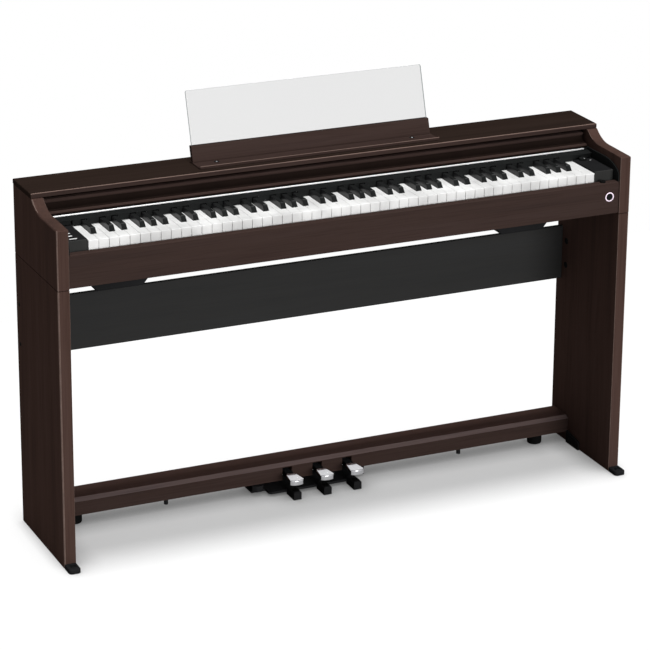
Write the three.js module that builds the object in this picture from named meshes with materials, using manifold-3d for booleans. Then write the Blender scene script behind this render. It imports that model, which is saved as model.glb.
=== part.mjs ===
// Digital piano on stand: a slim 88-key cabinet on two side panels, with a black modesty
// board, a pedal bar with three pedals, a sliding key cover and a lift-off music rest.
// Millimetres, +X to the player's right, +Y to the back, +Z up. Inside this file Y = 0 is the
// front face of the side panels; the last lines move the footprint's centre to the origin.
import * as THREE from 'three';
import { mergeVertices } from 'three/addons/utils/BufferGeometryUtils.js';
import Module from 'manifold-3d';

const wasm = await Module();
wasm.setup();

// ---------- driving dimensions ----------
const fit = 0.3; // clearance between touching pieces
const edge = 1.5; // eased edges of the laminated boards

const whiteKeyCount = 52;
const keyPitch = 23.5;
const keyGap = 0.9;
const keyFrontY = 26; // front of the white keys, behind the side panels' front
const keyTopZ = 735;
const keyApron = 23; // height of a white key's front
const whiteHead = 47; // full-width part of a white key
const keyHingeInset = 24; // hinge line, in front of the cabinet's back
const keyHingeDrop = 11; // hinge line below the white keys' tops
const keyTail = 8; // length behind the hinge
const blackWidth = 11;
const blackRise = 12;
const blackSlope = 7;
const blackDepth = 7; // how far a black key reaches below the white tops
const blackBarLength = 12;
const blackBarLift = 2;
const blackBarHeight = 6;
const blackShiftPair = 2.2; // C# and D# sit off the boundary by this
const blackShiftTrio = 3; // F# and A# sit off the boundary by this

const endBlockWidth = 53; // space between the outermost key and the cheek
const blockGap = 0.8; // between the outermost key and its end block
const sideThick = 27;
const sideDepth = 282;
const seamDrop = 97; // top of the stand's side panels, below the white keys' tops
const cheekLift = 38; // cheek's front edge above the white keys' tops
const cheekRise = 1.5;
const cheekCurveStart = 100;
const lidFrontY = 163;
const lidOverhangFront = 6;
const lidOverhangBack = 3;
const lidLift = 62; // lid's underside above the white keys' tops
const lidThick = 11;

const railSetback = 4;
const railThick = 18;
const railLift = 2; // rail above the side panels' top
const railTopDrop = 20; // rail's top below the white keys' tops
const railRound = 3;
const keybedThick = 14;
const rearCoverThick = 5;

const chassisPlate = 4;
const chassisFrontRailY = 40;
const chassisRailThick = 8;
const chassisFrontRailDrop = 41;

const blockWall = 3;
const blockLift = 3; // end blocks above the white keys' tops
const blockFrontY = 28;
const blockBackInset = 32;

const guideThick = 3;
const guideFrontY = 30;
const guideNoseDrop = 7;
const guideNoseLength = 46;
const guideNoseSteps = 8;

const fasciaY = 149;
const fasciaDepth = 14;
const fasciaClearance = 2; // above the black keys
const fasciaHeight = 8;
const fasciaShelfReach = 22; // shelf over the keys' backs, in front of the fascia
const fasciaShelfThick = 3;
const fasciaEndSetback = 4; // end pieces behind the shelf's front
const trimHeight = 4.4;
const trimThick = 1.2;
const trimInset = 10; // how far the trim stops short of the fascia's ends

const coverLift = 1.5; // cover above the fascia
const coverLipY = 150;
const coverLipHeight = 4.5;
const coverPlate = 6;
const coverBackInset = 7;
const coverCoveRadius = 26;
const coverCoveWall = 5;
const coverLipLength = 2;
const coverCoveSteps = 8;
const coverSideGap = 0.6; // between the cover and its guides

const boardWidth = 300;
const boardThick = 1.6;
const boardStandoff = 7;
const boardStandoffSize = 8;
const boardFrontGap = 9; // board behind the cover's cove
const boardBackInset = 20;

const modestyThick = 12;
const modestyInset = 14; // board's back face, in front of the side panels' back
const modestyDrop = 100; // board's top below the side panels' top
const modestyHeight = 136;

const barDepth = 70;
const barBackInset = 12;
const barBottomZ = 27;
const barTopZ = 68;
const barChamfer = 8;
const barFootInset = 76; // foot centre from the side panel's inner face
const barFootSetback = 28; // foot centre behind the bar's front
const barFootRadius = 18;
const barFootRound = 5;

const pedalPitch = 76;
const pedalHingeInset = 20; // hinge line, in front of the bar's back
const pedalHingeZ = 44;
const pedalHingeRadius = 4;
const pedalReach = 115; // tip in front of the hinge
const pedalTopZ = 50;
const pedalThick = 12;
const pedalStemWidth = 18;
const pedalPadWidth = 34; // widest, near the tip
const pedalPadBackWidth = 25;
const pedalPadLength = 46;
const pedalNoseLength = 9;
const pedalHubRadius = 7.5;
const pedalSlotWidth = 24;
const pedalSlotTopZ = 58;
const pocketSetback = 22;
const pocketBackWall = 8;
const pocketClearance = 4.56; // beside the outermost ears
const pedalBaseLeftMargin = 51.56; // plate beyond the outermost ears
const pedalBaseRightMargin = 8.56;
const pedalBaseReach = 22; // plate in front of the bar
const pedalBaseFrontLeft = 54; // that stretch, beyond the outer pedals
const pedalBaseFrontRight = 12;
const pedalBaseCover = 3; // the rest of the plate behind the bar's front
const pedalBaseBottomZ = 6;
const pedalBaseThick = 6;
const pedalEarThick = 8;
const pedalEarSpread = 0.96; // ear pitch as a share of the pedal pitch
const pedalEarAhead = 7;
const pedalEarBehind = 10;
const pedalEarTopZ = 54;
const pedalStopSetback = 3; // stop block behind the pedal's tip
const pedalStopLength = 44;
const pedalStopWidth = 20;
const pedalStopTopZ = 20;

const footReach = 34;
const footHeight = 11;
const footRound = 8;
const bracketLength = 60;
const bracketHeight = 30;
const bracketNoseZ = 22;
const bracketWidth = 5;

const speakerInset = 168; // box centre from the side panel's inner face
const speakerDepth = 96;
const speakerBackInset = 36;
const speakerDrop = 70;
const speakerBottomWidth = 108;
const speakerTopWidth = 228;
const speakerWall = 6;
const driverRadius = 42;
const driverHoleRadius = 34;
const driverHeight = 38;
const driverFlange = 4;
const driverMagnetRadius = 22;

const restHalfWidth = 292;
const restBackset = 17; // front of the rest's base, in front of the ledge's back
const restThick = 12;
const restBaseHeight = 34;
const restLean = 17; // degrees back from upright
const restPanelInset = 3;
const restPanelThick = 4;
const restPanelLength = 135;
const restGrooveDepth = 12;
const restCornerRadius = 4;
const restTongueX = 200;
const restTongueWidth = 40;
const restTongueThick = 4;
const restTongueDrop = 9;
const ledgeMargin = 1; // ledge beyond each end of the rest
const ledgeSetback = 20; // ledge behind the lid's front edge
const ledgeDepth = 63;
const ledgePlate = 2.7;
const ledgeLip = 5;
const ledgeLipHeight = 4;

const buttonInset = 24; // button centre from the side panel's inner face
const buttonDrop = 34; // button centre below the rail's top
const buttonRadius = 8;
const buttonLength = 14;
const ringRadius = 11;
const ringWall = 2.7;
const ringDepth = 6;
const ringProud = 0.4;
const knobInset = 32;
const knobY = 119;
const knobRadius = 9;
const knobHeight = 6;
const knobShaftRadius = 3;
const knobShaftLength = 14;
const bumperInset = 38;
const bumperRadius = 7;
const bumperHeight = 5;

const jackPlateWidth = 240;
const jackPlateHeight = 34;
const jackPlateThick = 2.5;
const jackDrop = 45; // socket line below the white keys' tops
const jackRadius = 5;
const jackCount = 5;
const jackPitch = 40;
const jackSink = 1.5;

// ---------- worked-out dimensions ----------
const keysHalf = (whiteKeyCount * keyPitch) / 2;
const keyHingeZ = keyTopZ - keyHingeDrop;
const seamZ = keyTopZ - seamDrop;
const cheekFrontZ = keyTopZ + cheekLift;
const lidUnderZ = keyTopZ + lidLift;
const railBottomZ = seamZ + railLift;
const railTopZ = keyTopZ - railTopDrop;
const chassisFrontRailZ = keyTopZ - chassisFrontRailDrop;
const blockTopZ = keyTopZ + blockLift;
const guideNoseZ = keyTopZ - guideNoseDrop;
const fasciaBottomZ = keyTopZ + blackRise + fasciaClearance;
const fasciaTopZ = fasciaBottomZ + fasciaHeight;
const modestyTopZ = seamZ - modestyDrop;
const modestyBottomZ = modestyTopZ - modestyHeight;
const buttonZ = railTopZ - buttonDrop;
const jackPlateZ = keyTopZ - jackDrop;
const innerX = keysHalf + endBlockWidth; // inner faces of the side panels
const outerX = innerX + sideThick;
const fitX = innerX - fit;
const buttonX = innerX - buttonInset;
const knobX = innerX - knobInset;
const bumperX = innerX - bumperInset;
const barFootX = innerX - barFootInset;
const speakerX = innerX - speakerInset;
const ledgeHalfWidth = restHalfWidth + ledgeMargin;
const lidBackY = sideDepth + lidOverhangBack;
const keybedTopZ = railBottomZ + 1 + keybedThick;
const keybedBottomZ = railBottomZ + 1;
const keyBottomZ = keyTopZ - keyApron;
const railBackY = railSetback + railThick;
const rearCoverBackY = sideDepth - fit * 2;
const guideInnerX = fitX - guideThick;
const coverBottomZ = fasciaTopZ + coverLift;
const lidTopZ = lidUnderZ + lidThick;
const unitBottomZ = seamZ + fit;
const keyHingeY = sideDepth - keyHingeInset;
const blockBackY = sideDepth - blockBackInset;
const coverBackY = sideDepth - coverBackInset;
const boardFrontY = coverLipY + coverLipLength + coverCoveRadius + coverCoveWall + boardFrontGap;
const boardBackY = sideDepth - boardBackInset;
const modestyFrontY = sideDepth - modestyInset - modestyThick;
const barBackY = sideDepth - barBackInset;
const barFrontY = barBackY - barDepth;
const barFootY = barFrontY + barFootSetback;
const pocketFrontY = barFrontY + pocketSetback;
const pocketBackY = barBackY - pocketBackWall;
const bracketFrontY = barFrontY - bracketLength;
const pedalHingeY = barBackY - pedalHingeInset;
const pedalTipY = pedalHingeY - pedalReach;
const pedalBaseFrontY = barFrontY - pedalBaseReach;
const earReachX = 1.5 * pedalEarSpread * pedalPitch + pedalEarThick / 2;
const pocketHalfWidth = earReachX + pocketClearance;
const pedalBaseLeft = -earReachX - pedalBaseLeftMargin;
const pedalBaseRight = earReachX + pedalBaseRightMargin;
const pedalEarFrontY = pedalHingeY - pedalEarAhead;
const pedalEarBackY = pedalHingeY + pedalEarBehind;
const pedalStopFrontY = pedalTipY + pedalStopSetback;
const pedalStopBackY = pedalStopFrontY + pedalStopLength;
const speakerBackY = sideDepth - speakerBackInset;
const speakerFrontY = speakerBackY - speakerDepth;
const ledgeFrontY = lidFrontY + ledgeSetback;
const ledgeBackY = ledgeFrontY + ledgeDepth;
const restFrontY = ledgeBackY - restBackset;

// ---------- finishes ----------
function finish(colour, roughness, metalness = 0) {
  return new THREE.MeshStandardMaterial({ color: colour, roughness, metalness });
}
const brown = finish(0x42342f, 0.45);
const darkBrown = finish(0x30262a, 0.5);
const blackBoard = finish(0x232323, 0.6);
const blackPlastic = finish(0x161616, 0.5);
const rubber = finish(0x111111, 0.85);
const ivory = finish(0xe8e8e6, 0.3);
const ebony = finish(0x1a1a1b, 0.4);
const silver = finish(0xd0d0d2, 0.25, 0.9);
const chrome = finish(0xd6d6d8, 0.12, 1);
const steel = finish(0x8d9094, 0.4, 0.9);
const clear = new THREE.MeshStandardMaterial({ color: 0xeef1f2, roughness: 0.08, transparent: true, opacity: 0.3 });
const ringWhite = finish(0xf3e8f0, 0.3);
const circuitGreen = finish(0x1f5a34, 0.5);

// ---------- shape helpers ----------
function block(x0, x1, y0, y1, z0, z1) {
  const box = new THREE.BoxGeometry(x1 - x0, y1 - y0, z1 - z0);
  return box.translate((x0 + x1) / 2, (y0 + y1) / 2, (z0 + z1) / 2);
}

function outline(points) {
  return new THREE.Shape(points.map(([u, v]) => new THREE.Vector2(u, v)));
}

function extrude(shape, length, bevel) {
  return new THREE.ExtrudeGeometry(shape, {
    depth: length - 2 * bevel,
    bevelEnabled: bevel > 0,
    bevelThickness: bevel,
    bevelSize: bevel,
    bevelOffset: -bevel,
    bevelSegments: 1,
    curveSegments: 6,
  }).translate(0, 0, bevel);
}

// A profile drawn in (Y, Z), running along X from x0 to x1.
function alongX(shape, x0, x1, bevel = 0) {
  const turn = new THREE.Matrix4().makeBasis(
    new THREE.Vector3(0, 1, 0), new THREE.Vector3(0, 0, 1), new THREE.Vector3(1, 0, 0));
  return extrude(shape, x1 - x0, bevel).applyMatrix4(turn).translate(x0, 0, 0);
}

// A profile drawn in (X, Z), running along Y from y0 to y1.
function alongY(shape, y0, y1, bevel = 0) {
  const turn = new THREE.Matrix4().makeBasis(
    new THREE.Vector3(1, 0, 0), new THREE.Vector3(0, 0, 1), new THREE.Vector3(0, -1, 0));
  return extrude(shape, y1 - y0, bevel).applyMatrix4(turn).translate(0, y1, 0);
}

// A profile drawn in (X, Y), running along Z from z0 to z1.
function alongZ(shape, z0, z1, bevel = 0) {
  return extrude(shape, z1 - z0, bevel).translate(0, 0, z0);
}

function easedBoard(x0, x1, y0, y1, z0, z1, ease = edge) {
  return alongZ(outline([[x0, y0], [x1, y0], [x1, y1], [x0, y1]]), z0, z1, ease);
}

function cylinder(radius, length, segments = 24) {
  return new THREE.CylinderGeometry(radius, radius, length, segments);
}

function cylinderX(radius, x0, x1, y, z) {
  return cylinder(radius, x1 - x0).rotateZ(Math.PI / 2).translate((x0 + x1) / 2, y, z);
}

function cylinderY(radius, x, y0, y1, z) {
  return cylinder(radius, y1 - y0).translate(x, (y0 + y1) / 2, z);
}

function cylinderZ(radius, x, y, z0, z1) {
  return cylinder(radius, z1 - z0).rotateX(Math.PI / 2).translate(x, y, (z0 + z1) / 2);
}

// A turned solid about a vertical axis, from [radius, z] pairs that start and end on the axis.
function turned(profile, x, y, z) {
  const points = profile.map(([r, h]) => new THREE.Vector2(r, h));
  return new THREE.LatheGeometry(points, 24).rotateX(Math.PI / 2).translate(x, y, z);
}

function solid(geometry) {
  const bare = geometry.index ? geometry.toNonIndexed() : geometry.clone();
  bare.deleteAttribute('normal');
  bare.deleteAttribute('uv');
  const merged = mergeVertices(bare, 1e-4);
  return new wasm.Manifold(new wasm.Mesh({
    numProp: 3,
    vertProperties: new Float32Array(merged.attributes.position.array),
    triVerts: new Uint32Array(merged.index.array),
  }));
}

function surface(manifold) {
  const mesh = manifold.getMesh();
  const geometry = new THREE.BufferGeometry();
  geometry.setAttribute('position', new THREE.BufferAttribute(new Float32Array(mesh.vertProperties), 3));
  geometry.setIndex(new THREE.BufferAttribute(new Uint32Array(mesh.triVerts), 1));
  geometry.computeVertexNormals();
  return geometry;
}

function joined(...geometries) {
  return surface(geometries.map(solid).reduce((whole, next) => whole.add(next)));
}

function cut(geometry, ...tools) {
  return surface(tools.map(solid).reduce((whole, tool) => whole.subtract(tool), solid(geometry)));
}

const piano = new THREE.Group();

function part(name, geometry, material, parent = piano) {
  const mesh = new THREE.Mesh(geometry, material);
  mesh.name = name;
  parent.add(mesh);
  return mesh;
}

const sides = [['left', -1], ['right', 1]];

function sideRange(sign, near, far) {
  return sign < 0 ? [-far, -near] : [near, far];
}

// ---------- stand ----------
function addStandPanels() {
  for (const [side, sign] of sides) {
    const [x0, x1] = sideRange(sign, innerX, outerX);
    const profile = outline([[0, 0], [sideDepth, 0], [sideDepth, seamZ], [0, seamZ]]);
    part(`stand_panel_${side}`, alongX(profile, x0, x1, edge), darkBrown);
  }
}

function addFrontFeet() {
  for (const [side, sign] of sides) {
    const [x0, x1] = sideRange(sign, innerX, outerX);
    const shape = new THREE.Shape();
    shape.moveTo(x0, -fit);
    shape.lineTo(x0, -footReach + footRound);
    shape.absarc(x0 + footRound, -footReach + footRound, footRound, Math.PI, Math.PI * 1.5);
    shape.absarc(x1 - footRound, -footReach + footRound, footRound, -Math.PI / 2, 0);
    shape.lineTo(x1, -fit);
    part(`front_foot_${side}`, alongZ(shape, 0, footHeight, 1), blackPlastic);
  }
}

function addModestyBoard() {
  part('back_panel', easedBoard(-fitX, fitX, modestyFrontY, modestyFrontY + modestyThick,
    modestyBottomZ, modestyTopZ), blackBoard);
}

function addPedalBar() {
  const profile = outline([
    [barFrontY, barBottomZ], [barBackY, barBottomZ], [barBackY, barTopZ],
    [barFrontY + barChamfer, barTopZ], [barFrontY, barTopZ - barChamfer],
  ]);
  const bar = alongX(profile, -fitX, fitX);
  const below = barBottomZ - 1;
  const pocket = block(-pocketHalfWidth, pocketHalfWidth, pocketFrontY, pocketBackY, below, pedalSlotTopZ);
  const slots = [-1, 0, 1].map((n) => block(
    n * pedalPitch - pedalSlotWidth / 2, n * pedalPitch + pedalSlotWidth / 2,
    barFrontY - 1, pocketFrontY + 1, below, pedalSlotTopZ));
  part('crossbar', cut(bar, pocket, ...slots), brown);
  for (const [side, sign] of sides) {
    const profileDown = [
      [0, 0], [barFootRadius - barFootRound, 0], [barFootRadius, barFootRound],
      [barFootRadius, barBottomZ - fit], [0, barBottomZ - fit],
    ];
    part(`crossbar_foot_${side}`, turned(profileDown, sign * barFootX, barFootY, 0), rubber);
  }
}

function addCornerBrackets() {
  for (const [side, sign] of sides) {
    const [x0, x1] = sideRange(sign, fitX - bracketWidth, fitX);
    const back = barFrontY - fit;
    const profile = outline([[bracketFrontY, 0], [back, 0], [back, bracketHeight], [bracketFrontY, bracketNoseZ]]);
    part(`corner_bracket_${side}`, alongX(profile, x0, x1, 1), blackPlastic);
  }
}

// ---------- pedals ----------
function addPedalUnit() {
  const baseTop = pedalBaseBottomZ + pedalBaseThick;
  const hiddenFrontY = barFrontY + pedalBaseCover;
  const frontLeft = -pedalPitch - pedalBaseFrontLeft;
  const frontRight = pedalPitch + pedalBaseFrontRight;
  const plate = alongZ(outline([
    [pedalBaseLeft, hiddenFrontY], [frontLeft, hiddenFrontY], [frontLeft, pedalBaseFrontY],
    [frontRight, pedalBaseFrontY], [frontRight, hiddenFrontY], [pedalBaseRight, hiddenFrontY],
    [pedalBaseRight, pedalEarBackY], [pedalBaseLeft, pedalEarBackY],
  ]), pedalBaseBottomZ, baseTop);
  const wallTop = barBottomZ - fit;
  const wallThick = pedalEarThick / 2;
  const walls = [
    block(pedalBaseLeft, pedalBaseLeft + wallThick, hiddenFrontY, pedalEarBackY, baseTop - 1, wallTop),
    block(pedalBaseRight - wallThick, pedalBaseRight, hiddenFrontY, pedalEarBackY, baseTop - 1, wallTop),
  ];
  const earCentres = [-1.5, -0.5, 0.5, 1.5].map((n) => n * pedalPitch * pedalEarSpread);
  const ears = earCentres.map((x) => block(x - pedalEarThick / 2, x + pedalEarThick / 2,
    pedalEarFrontY, pedalEarBackY, baseTop - 1, pedalEarTopZ));
  const stops = [-1, 0, 1].map((n) => block(
    n * pedalPitch - pedalStopWidth / 2, n * pedalPitch + pedalStopWidth / 2,
    pedalStopFrontY, pedalStopBackY, 0, pedalStopTopZ));
  const shaftEnd = earReachX;
  const bore = cylinderX(pedalHingeRadius + fit, -shaftEnd - 1, shaftEnd + 1, pedalHingeY, pedalHingeZ);
  const body = [plate, ...walls, ...ears, ...stops].map(solid).reduce((whole, next) => whole.add(next));
  part('pedal_base', surface(body.subtract(solid(bore))), blackPlastic);
  part('pedal_shaft', cylinderX(pedalHingeRadius, -shaftEnd, shaftEnd, pedalHingeY, pedalHingeZ), steel);

  ['left', 'middle', 'right'].forEach((name, index) => {
    const x = (index - 1) * pedalPitch;
    const halfStem = pedalStemWidth / 2;
    const halfPad = pedalPadWidth / 2;
    const halfPadBack = pedalPadBackWidth / 2;
    const padBack = pedalTipY + pedalPadLength;
    const padFront = pedalTipY + pedalNoseLength;
    const plan = new THREE.Shape();
    plan.moveTo(x - halfStem, pedalHingeY);
    plan.lineTo(x - halfStem, padBack);
    plan.lineTo(x - halfPadBack, padBack);
    plan.lineTo(x - halfPad, padFront);
    plan.absellipse(x, padFront, halfPad, pedalNoseLength, Math.PI, 2 * Math.PI);
    plan.lineTo(x + halfPadBack, padBack);
    plan.lineTo(x + halfStem, padBack);
    plan.lineTo(x + halfStem, pedalHingeY);
    const lever = alongZ(plan, pedalTopZ - pedalThick, pedalTopZ, 1);
    const hub = cylinderX(pedalHubRadius, x - halfStem, x + halfStem, pedalHingeY, pedalHingeZ);
    const hole = cylinderX(pedalHingeRadius + fit, x - halfStem - 1, x + halfStem + 1, pedalHingeY, pedalHingeZ);
    part(`pedal_${name}`, surface(solid(lever).add(solid(hub)).subtract(solid(hole))), chrome);
  });
}

// ---------- cabinet ----------
function cheekShape() {
  const curveEndY = lidFrontY - lidOverhangFront;
  const startZ = cheekFrontZ + cheekRise;
  const run = curveEndY - cheekCurveStart;
  const rise = lidUnderZ - fit - startZ;
  const angle = 2 * Math.atan2(rise, run);
  const radius = run / Math.sin(angle);
  const shape = new THREE.Shape();
  shape.moveTo(0, unitBottomZ);
  shape.lineTo(sideDepth, unitBottomZ);
  shape.lineTo(sideDepth, lidUnderZ - fit);
  shape.lineTo(curveEndY, lidUnderZ - fit);
  shape.absarc(cheekCurveStart, startZ + radius, radius, angle - Math.PI / 2, -Math.PI / 2, true);
  shape.lineTo(0, cheekFrontZ);
  return shape;
}

function addCheeks() {
  for (const [side, sign] of sides) {
    const [x0, x1] = sideRange(sign, innerX, outerX);
    part(`cheek_${side}`, alongX(cheekShape(), x0, x1, edge), darkBrown);
  }
}

function addCabinet() {
  part('keybed', block(-fitX, fitX, railBackY + fit, rearCoverBackY - rearCoverThick - fit,
    keybedBottomZ, keybedTopZ), blackBoard);
  const railShape = new THREE.Shape();
  railShape.moveTo(railSetback, railBottomZ);
  railShape.lineTo(railBackY, railBottomZ);
  railShape.lineTo(railBackY, railTopZ);
  railShape.lineTo(railSetback + railRound, railTopZ);
  railShape.absarc(railSetback + railRound, railTopZ - railRound, railRound, Math.PI / 2, Math.PI);
  const ringHole = cylinderY(ringRadius + fit, buttonX, railSetback - 1, railBackY + 1, buttonZ);
  part('front_rail', cut(alongX(railShape, -fitX, fitX), ringHole), brown);
  part('rear_cover', block(-fitX, fitX, rearCoverBackY - rearCoverThick, rearCoverBackY,
    keybedBottomZ, lidUnderZ - fit), blackBoard);
  const tongueSlots = [-1, 1].map((sign) => block(
    sign * restTongueX - restTongueWidth / 2 - 2 * fit, sign * restTongueX + restTongueWidth / 2 + 2 * fit,
    tongueFrontY() - 2 * fit, tongueFrontY() + restTongueThick + 2 * fit, lidUnderZ - 1, lidTopZ + ledgePlate * 2));
  part('top_lid', cut(easedBoard(-outerX, outerX, lidFrontY, lidBackY, lidUnderZ, lidTopZ), ...tongueSlots), darkBrown);

  const ledgeBottom = lidTopZ + fit;
  const ledgeProfile = outline([
    [ledgeFrontY, ledgeBottom], [ledgeBackY, ledgeBottom], [ledgeBackY, ledgeBottom + ledgePlate],
    [ledgeFrontY + ledgeLip, ledgeBottom + ledgePlate],
    [ledgeFrontY + ledgeLip, ledgeBottom + ledgePlate + ledgeLipHeight],
    [ledgeFrontY, ledgeBottom + ledgePlate + ledgeLipHeight],
  ]);
  part('rest_ledge', cut(alongX(ledgeProfile, -ledgeHalfWidth, ledgeHalfWidth), ...tongueSlots), darkBrown);
}

function addJackPlate() {
  const half = jackPlateWidth / 2;
  const y0 = rearCoverBackY + fit;
  const plate = block(-half, half, y0, y0 + jackPlateThick, jackPlateZ - jackPlateHeight / 2, jackPlateZ + jackPlateHeight / 2);
  const holes = Array.from({ length: jackCount }, (_, i) => cylinderY(
    jackRadius, (i - (jackCount - 1) / 2) * jackPitch, y0 + jackPlateThick - jackSink, y0 + jackPlateThick + 1, jackPlateZ));
  part('jack_plate', cut(plate, ...holes), blackPlastic);
}

function addEndBlocks() {
  for (const [side, sign] of sides) {
    const near = keysHalf + blockGap;
    const far = guideInnerX - fit;
    const [x0, x1] = sideRange(sign, near, far);
    const base = keybedTopZ + fit;
    const shell = block(x0, x1, blockFrontY, blockBackY, base, blockTopZ);
    const hollow = block(x0 + blockWall, x1 - blockWall, blockFrontY + blockWall, blockBackY - blockWall,
      base - 1, blockTopZ - blockWall);
    const shaftHole = cylinderZ(knobShaftRadius + fit, knobX, knobY, blockTopZ - blockWall - 1, blockTopZ + 1);
    const tools = sign > 0 ? [hollow, shaftHole] : [hollow];
    part(`end_block_${side}`, cut(shell, ...tools), blackPlastic);
  }
}

function addGuides() {
  const topZ = coverBottomZ - fit;
  const points = [[guideFrontY, keybedTopZ + fit], [coverBackY, keybedTopZ + fit], [coverBackY, topZ]];
  for (let step = 0; step <= guideNoseSteps; step += 1) {
    const turn = (step / guideNoseSteps) * (Math.PI / 2);
    points.push([guideFrontY + guideNoseLength * (1 - Math.sin(turn)),
      guideNoseZ + (topZ - guideNoseZ) * Math.cos(turn)]);
  }
  for (const [side, sign] of sides) {
    const [x0, x1] = sideRange(sign, guideInnerX, fitX);
    part(`cover_guide_${side}`, alongX(outline(points), x0, x1), blackPlastic);
  }
}

function addFascia() {
  const half = guideInnerX - fit;
  const shelfFrontY = fasciaY - fasciaShelfReach;
  const shelfTopZ = fasciaBottomZ + fasciaShelfThick;
  const backY = fasciaY + fasciaDepth;
  const strip = alongX(outline([
    [shelfFrontY, fasciaBottomZ], [backY, fasciaBottomZ], [backY, fasciaTopZ],
    [fasciaY, fasciaTopZ], [fasciaY, shelfTopZ], [shelfFrontY, shelfTopZ],
  ]), -half, half);
  const ends = sides.map(([, sign]) => {
    const [x0, x1] = sideRange(sign, keysHalf + blockGap, half);
    return block(x0, x1, shelfFrontY + fasciaEndSetback, backY, blockTopZ + fit, fasciaBottomZ + 1);
  });
  part('fascia_strip', joined(strip, ...ends), blackPlastic);
  const trimTop = fasciaTopZ - fit;
  part('trim_strip', block(-half + trimInset, half - trimInset, fasciaY - fit - trimThick, fasciaY - fit,
    trimTop - trimHeight, trimTop), silver);
}

function addKeyCover() {
  const lipTop = coverBottomZ + coverLipHeight;
  const coveBase = coverLipY + coverLipLength;
  const coveBackY = coveBase + coverCoveRadius;
  const shape = new THREE.Shape();
  shape.moveTo(coverLipY, coverBottomZ);
  shape.lineTo(coverBackY, coverBottomZ);
  shape.lineTo(coverBackY, coverBottomZ + coverPlate);
  shape.lineTo(coveBackY + coverCoveWall, coverBottomZ + coverPlate);
  shape.lineTo(coveBackY + coverCoveWall, lipTop + coverCoveRadius);
  for (let step = 0; step <= coverCoveSteps; step += 1) {
    const turn = (step / coverCoveSteps) * (Math.PI / 2);
    shape.lineTo(coveBase + coverCoveRadius * Math.cos(turn), lipTop + coverCoveRadius * (1 - Math.sin(turn)));
  }
  shape.lineTo(coverLipY, lipTop);
  const half = guideInnerX - coverSideGap;
  part('key_cover', alongX(shape, -half, half), brown);
}

function addElectronics() {
  const half = boardWidth / 2;
  const topZ = lidUnderZ - fit;
  const boardZ = topZ - boardStandoff - boardThick;
  const board = block(-half, half, boardFrontY, boardBackY, boardZ, boardZ + boardThick);
  const posts = [[-half, boardFrontY], [half - boardStandoffSize, boardFrontY],
    [-half, boardBackY - boardStandoffSize], [half - boardStandoffSize, boardBackY - boardStandoffSize]]
    .map(([x, y]) => block(x, x + boardStandoffSize, y, y + boardStandoffSize, boardZ + boardThick / 2, topZ));
  part('main_board', joined(board, ...posts), circuitGreen);
}

function addSpeakers() {
  const top = keybedBottomZ - fit;
  const bottom = top - speakerDrop;
  const trapezoid = (inset, lift) => outline([
    [-speakerBottomWidth / 2 + inset, bottom + lift], [speakerBottomWidth / 2 - inset, bottom + lift],
    [speakerTopWidth / 2 - inset, top + (lift ? 1 : 0)], [-speakerTopWidth / 2 + inset, top + (lift ? 1 : 0)],
  ]);
  for (const [side, sign] of sides) {
    const x = sign * speakerX;
    const middleY = (speakerFrontY + speakerBackY) / 2;
    const shell = alongY(trapezoid(0, 0), speakerFrontY, speakerBackY).translate(x, 0, 0);
    const inside = alongY(trapezoid(speakerWall, speakerWall), speakerFrontY + speakerWall, speakerBackY - speakerWall)
      .translate(x, 0, 0);
    const mouth = cylinderZ(driverHoleRadius, x, middleY, bottom - 1, bottom + speakerWall + 1);
    part(`speaker_box_${side}`, cut(shell, inside, mouth), blackPlastic);
    const profile = [
      [0, 0], [driverHoleRadius - 2, 0], [driverRadius, 0], [driverRadius, driverFlange],
      [driverMagnetRadius, driverHeight * 0.6], [driverMagnetRadius, driverHeight], [0, driverHeight],
    ];
    part(`speaker_driver_${side}`, turned(profile, x, middleY, bottom + speakerWall + fit), steel);
  }
}

function addControls() {
  const ringFront = railSetback - ringProud;
  const ringBody = cylinderY(ringRadius, buttonX, ringFront, ringFront + ringDepth, buttonZ);
  const ringBore = cylinderY(ringRadius - ringWall, buttonX, ringFront - 1, ringFront + ringDepth + 1, buttonZ);
  part('power_ring', cut(ringBody, ringBore), ringWhite);
  part('power_button', cylinderY(ringRadius - ringWall - fit, buttonX, ringFront - fit,
    ringFront + buttonLength, buttonZ), blackPlastic);

  const dial = cylinderZ(knobRadius, knobX, knobY, blockTopZ + fit, blockTopZ + fit + knobHeight);
  const shaft = cylinderZ(knobShaftRadius, knobX, knobY, blockTopZ - knobShaftLength, blockTopZ + fit + 1);
  part('volume_knob', joined(dial, shaft), blackPlastic);

  const dome = [[0, 0], [bumperRadius, 0], [bumperRadius * 0.8, bumperHeight * 0.7], [0, bumperHeight]];
  part('rail_bumper', turned(dome, bumperX, (railSetback + railBackY) / 2 + 1, railTopZ + fit), rubber);
}

// ---------- music rest ----------
function tongueFrontY() {
  return restFrontY + (restThick - restTongueThick) / 2;
}

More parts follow.
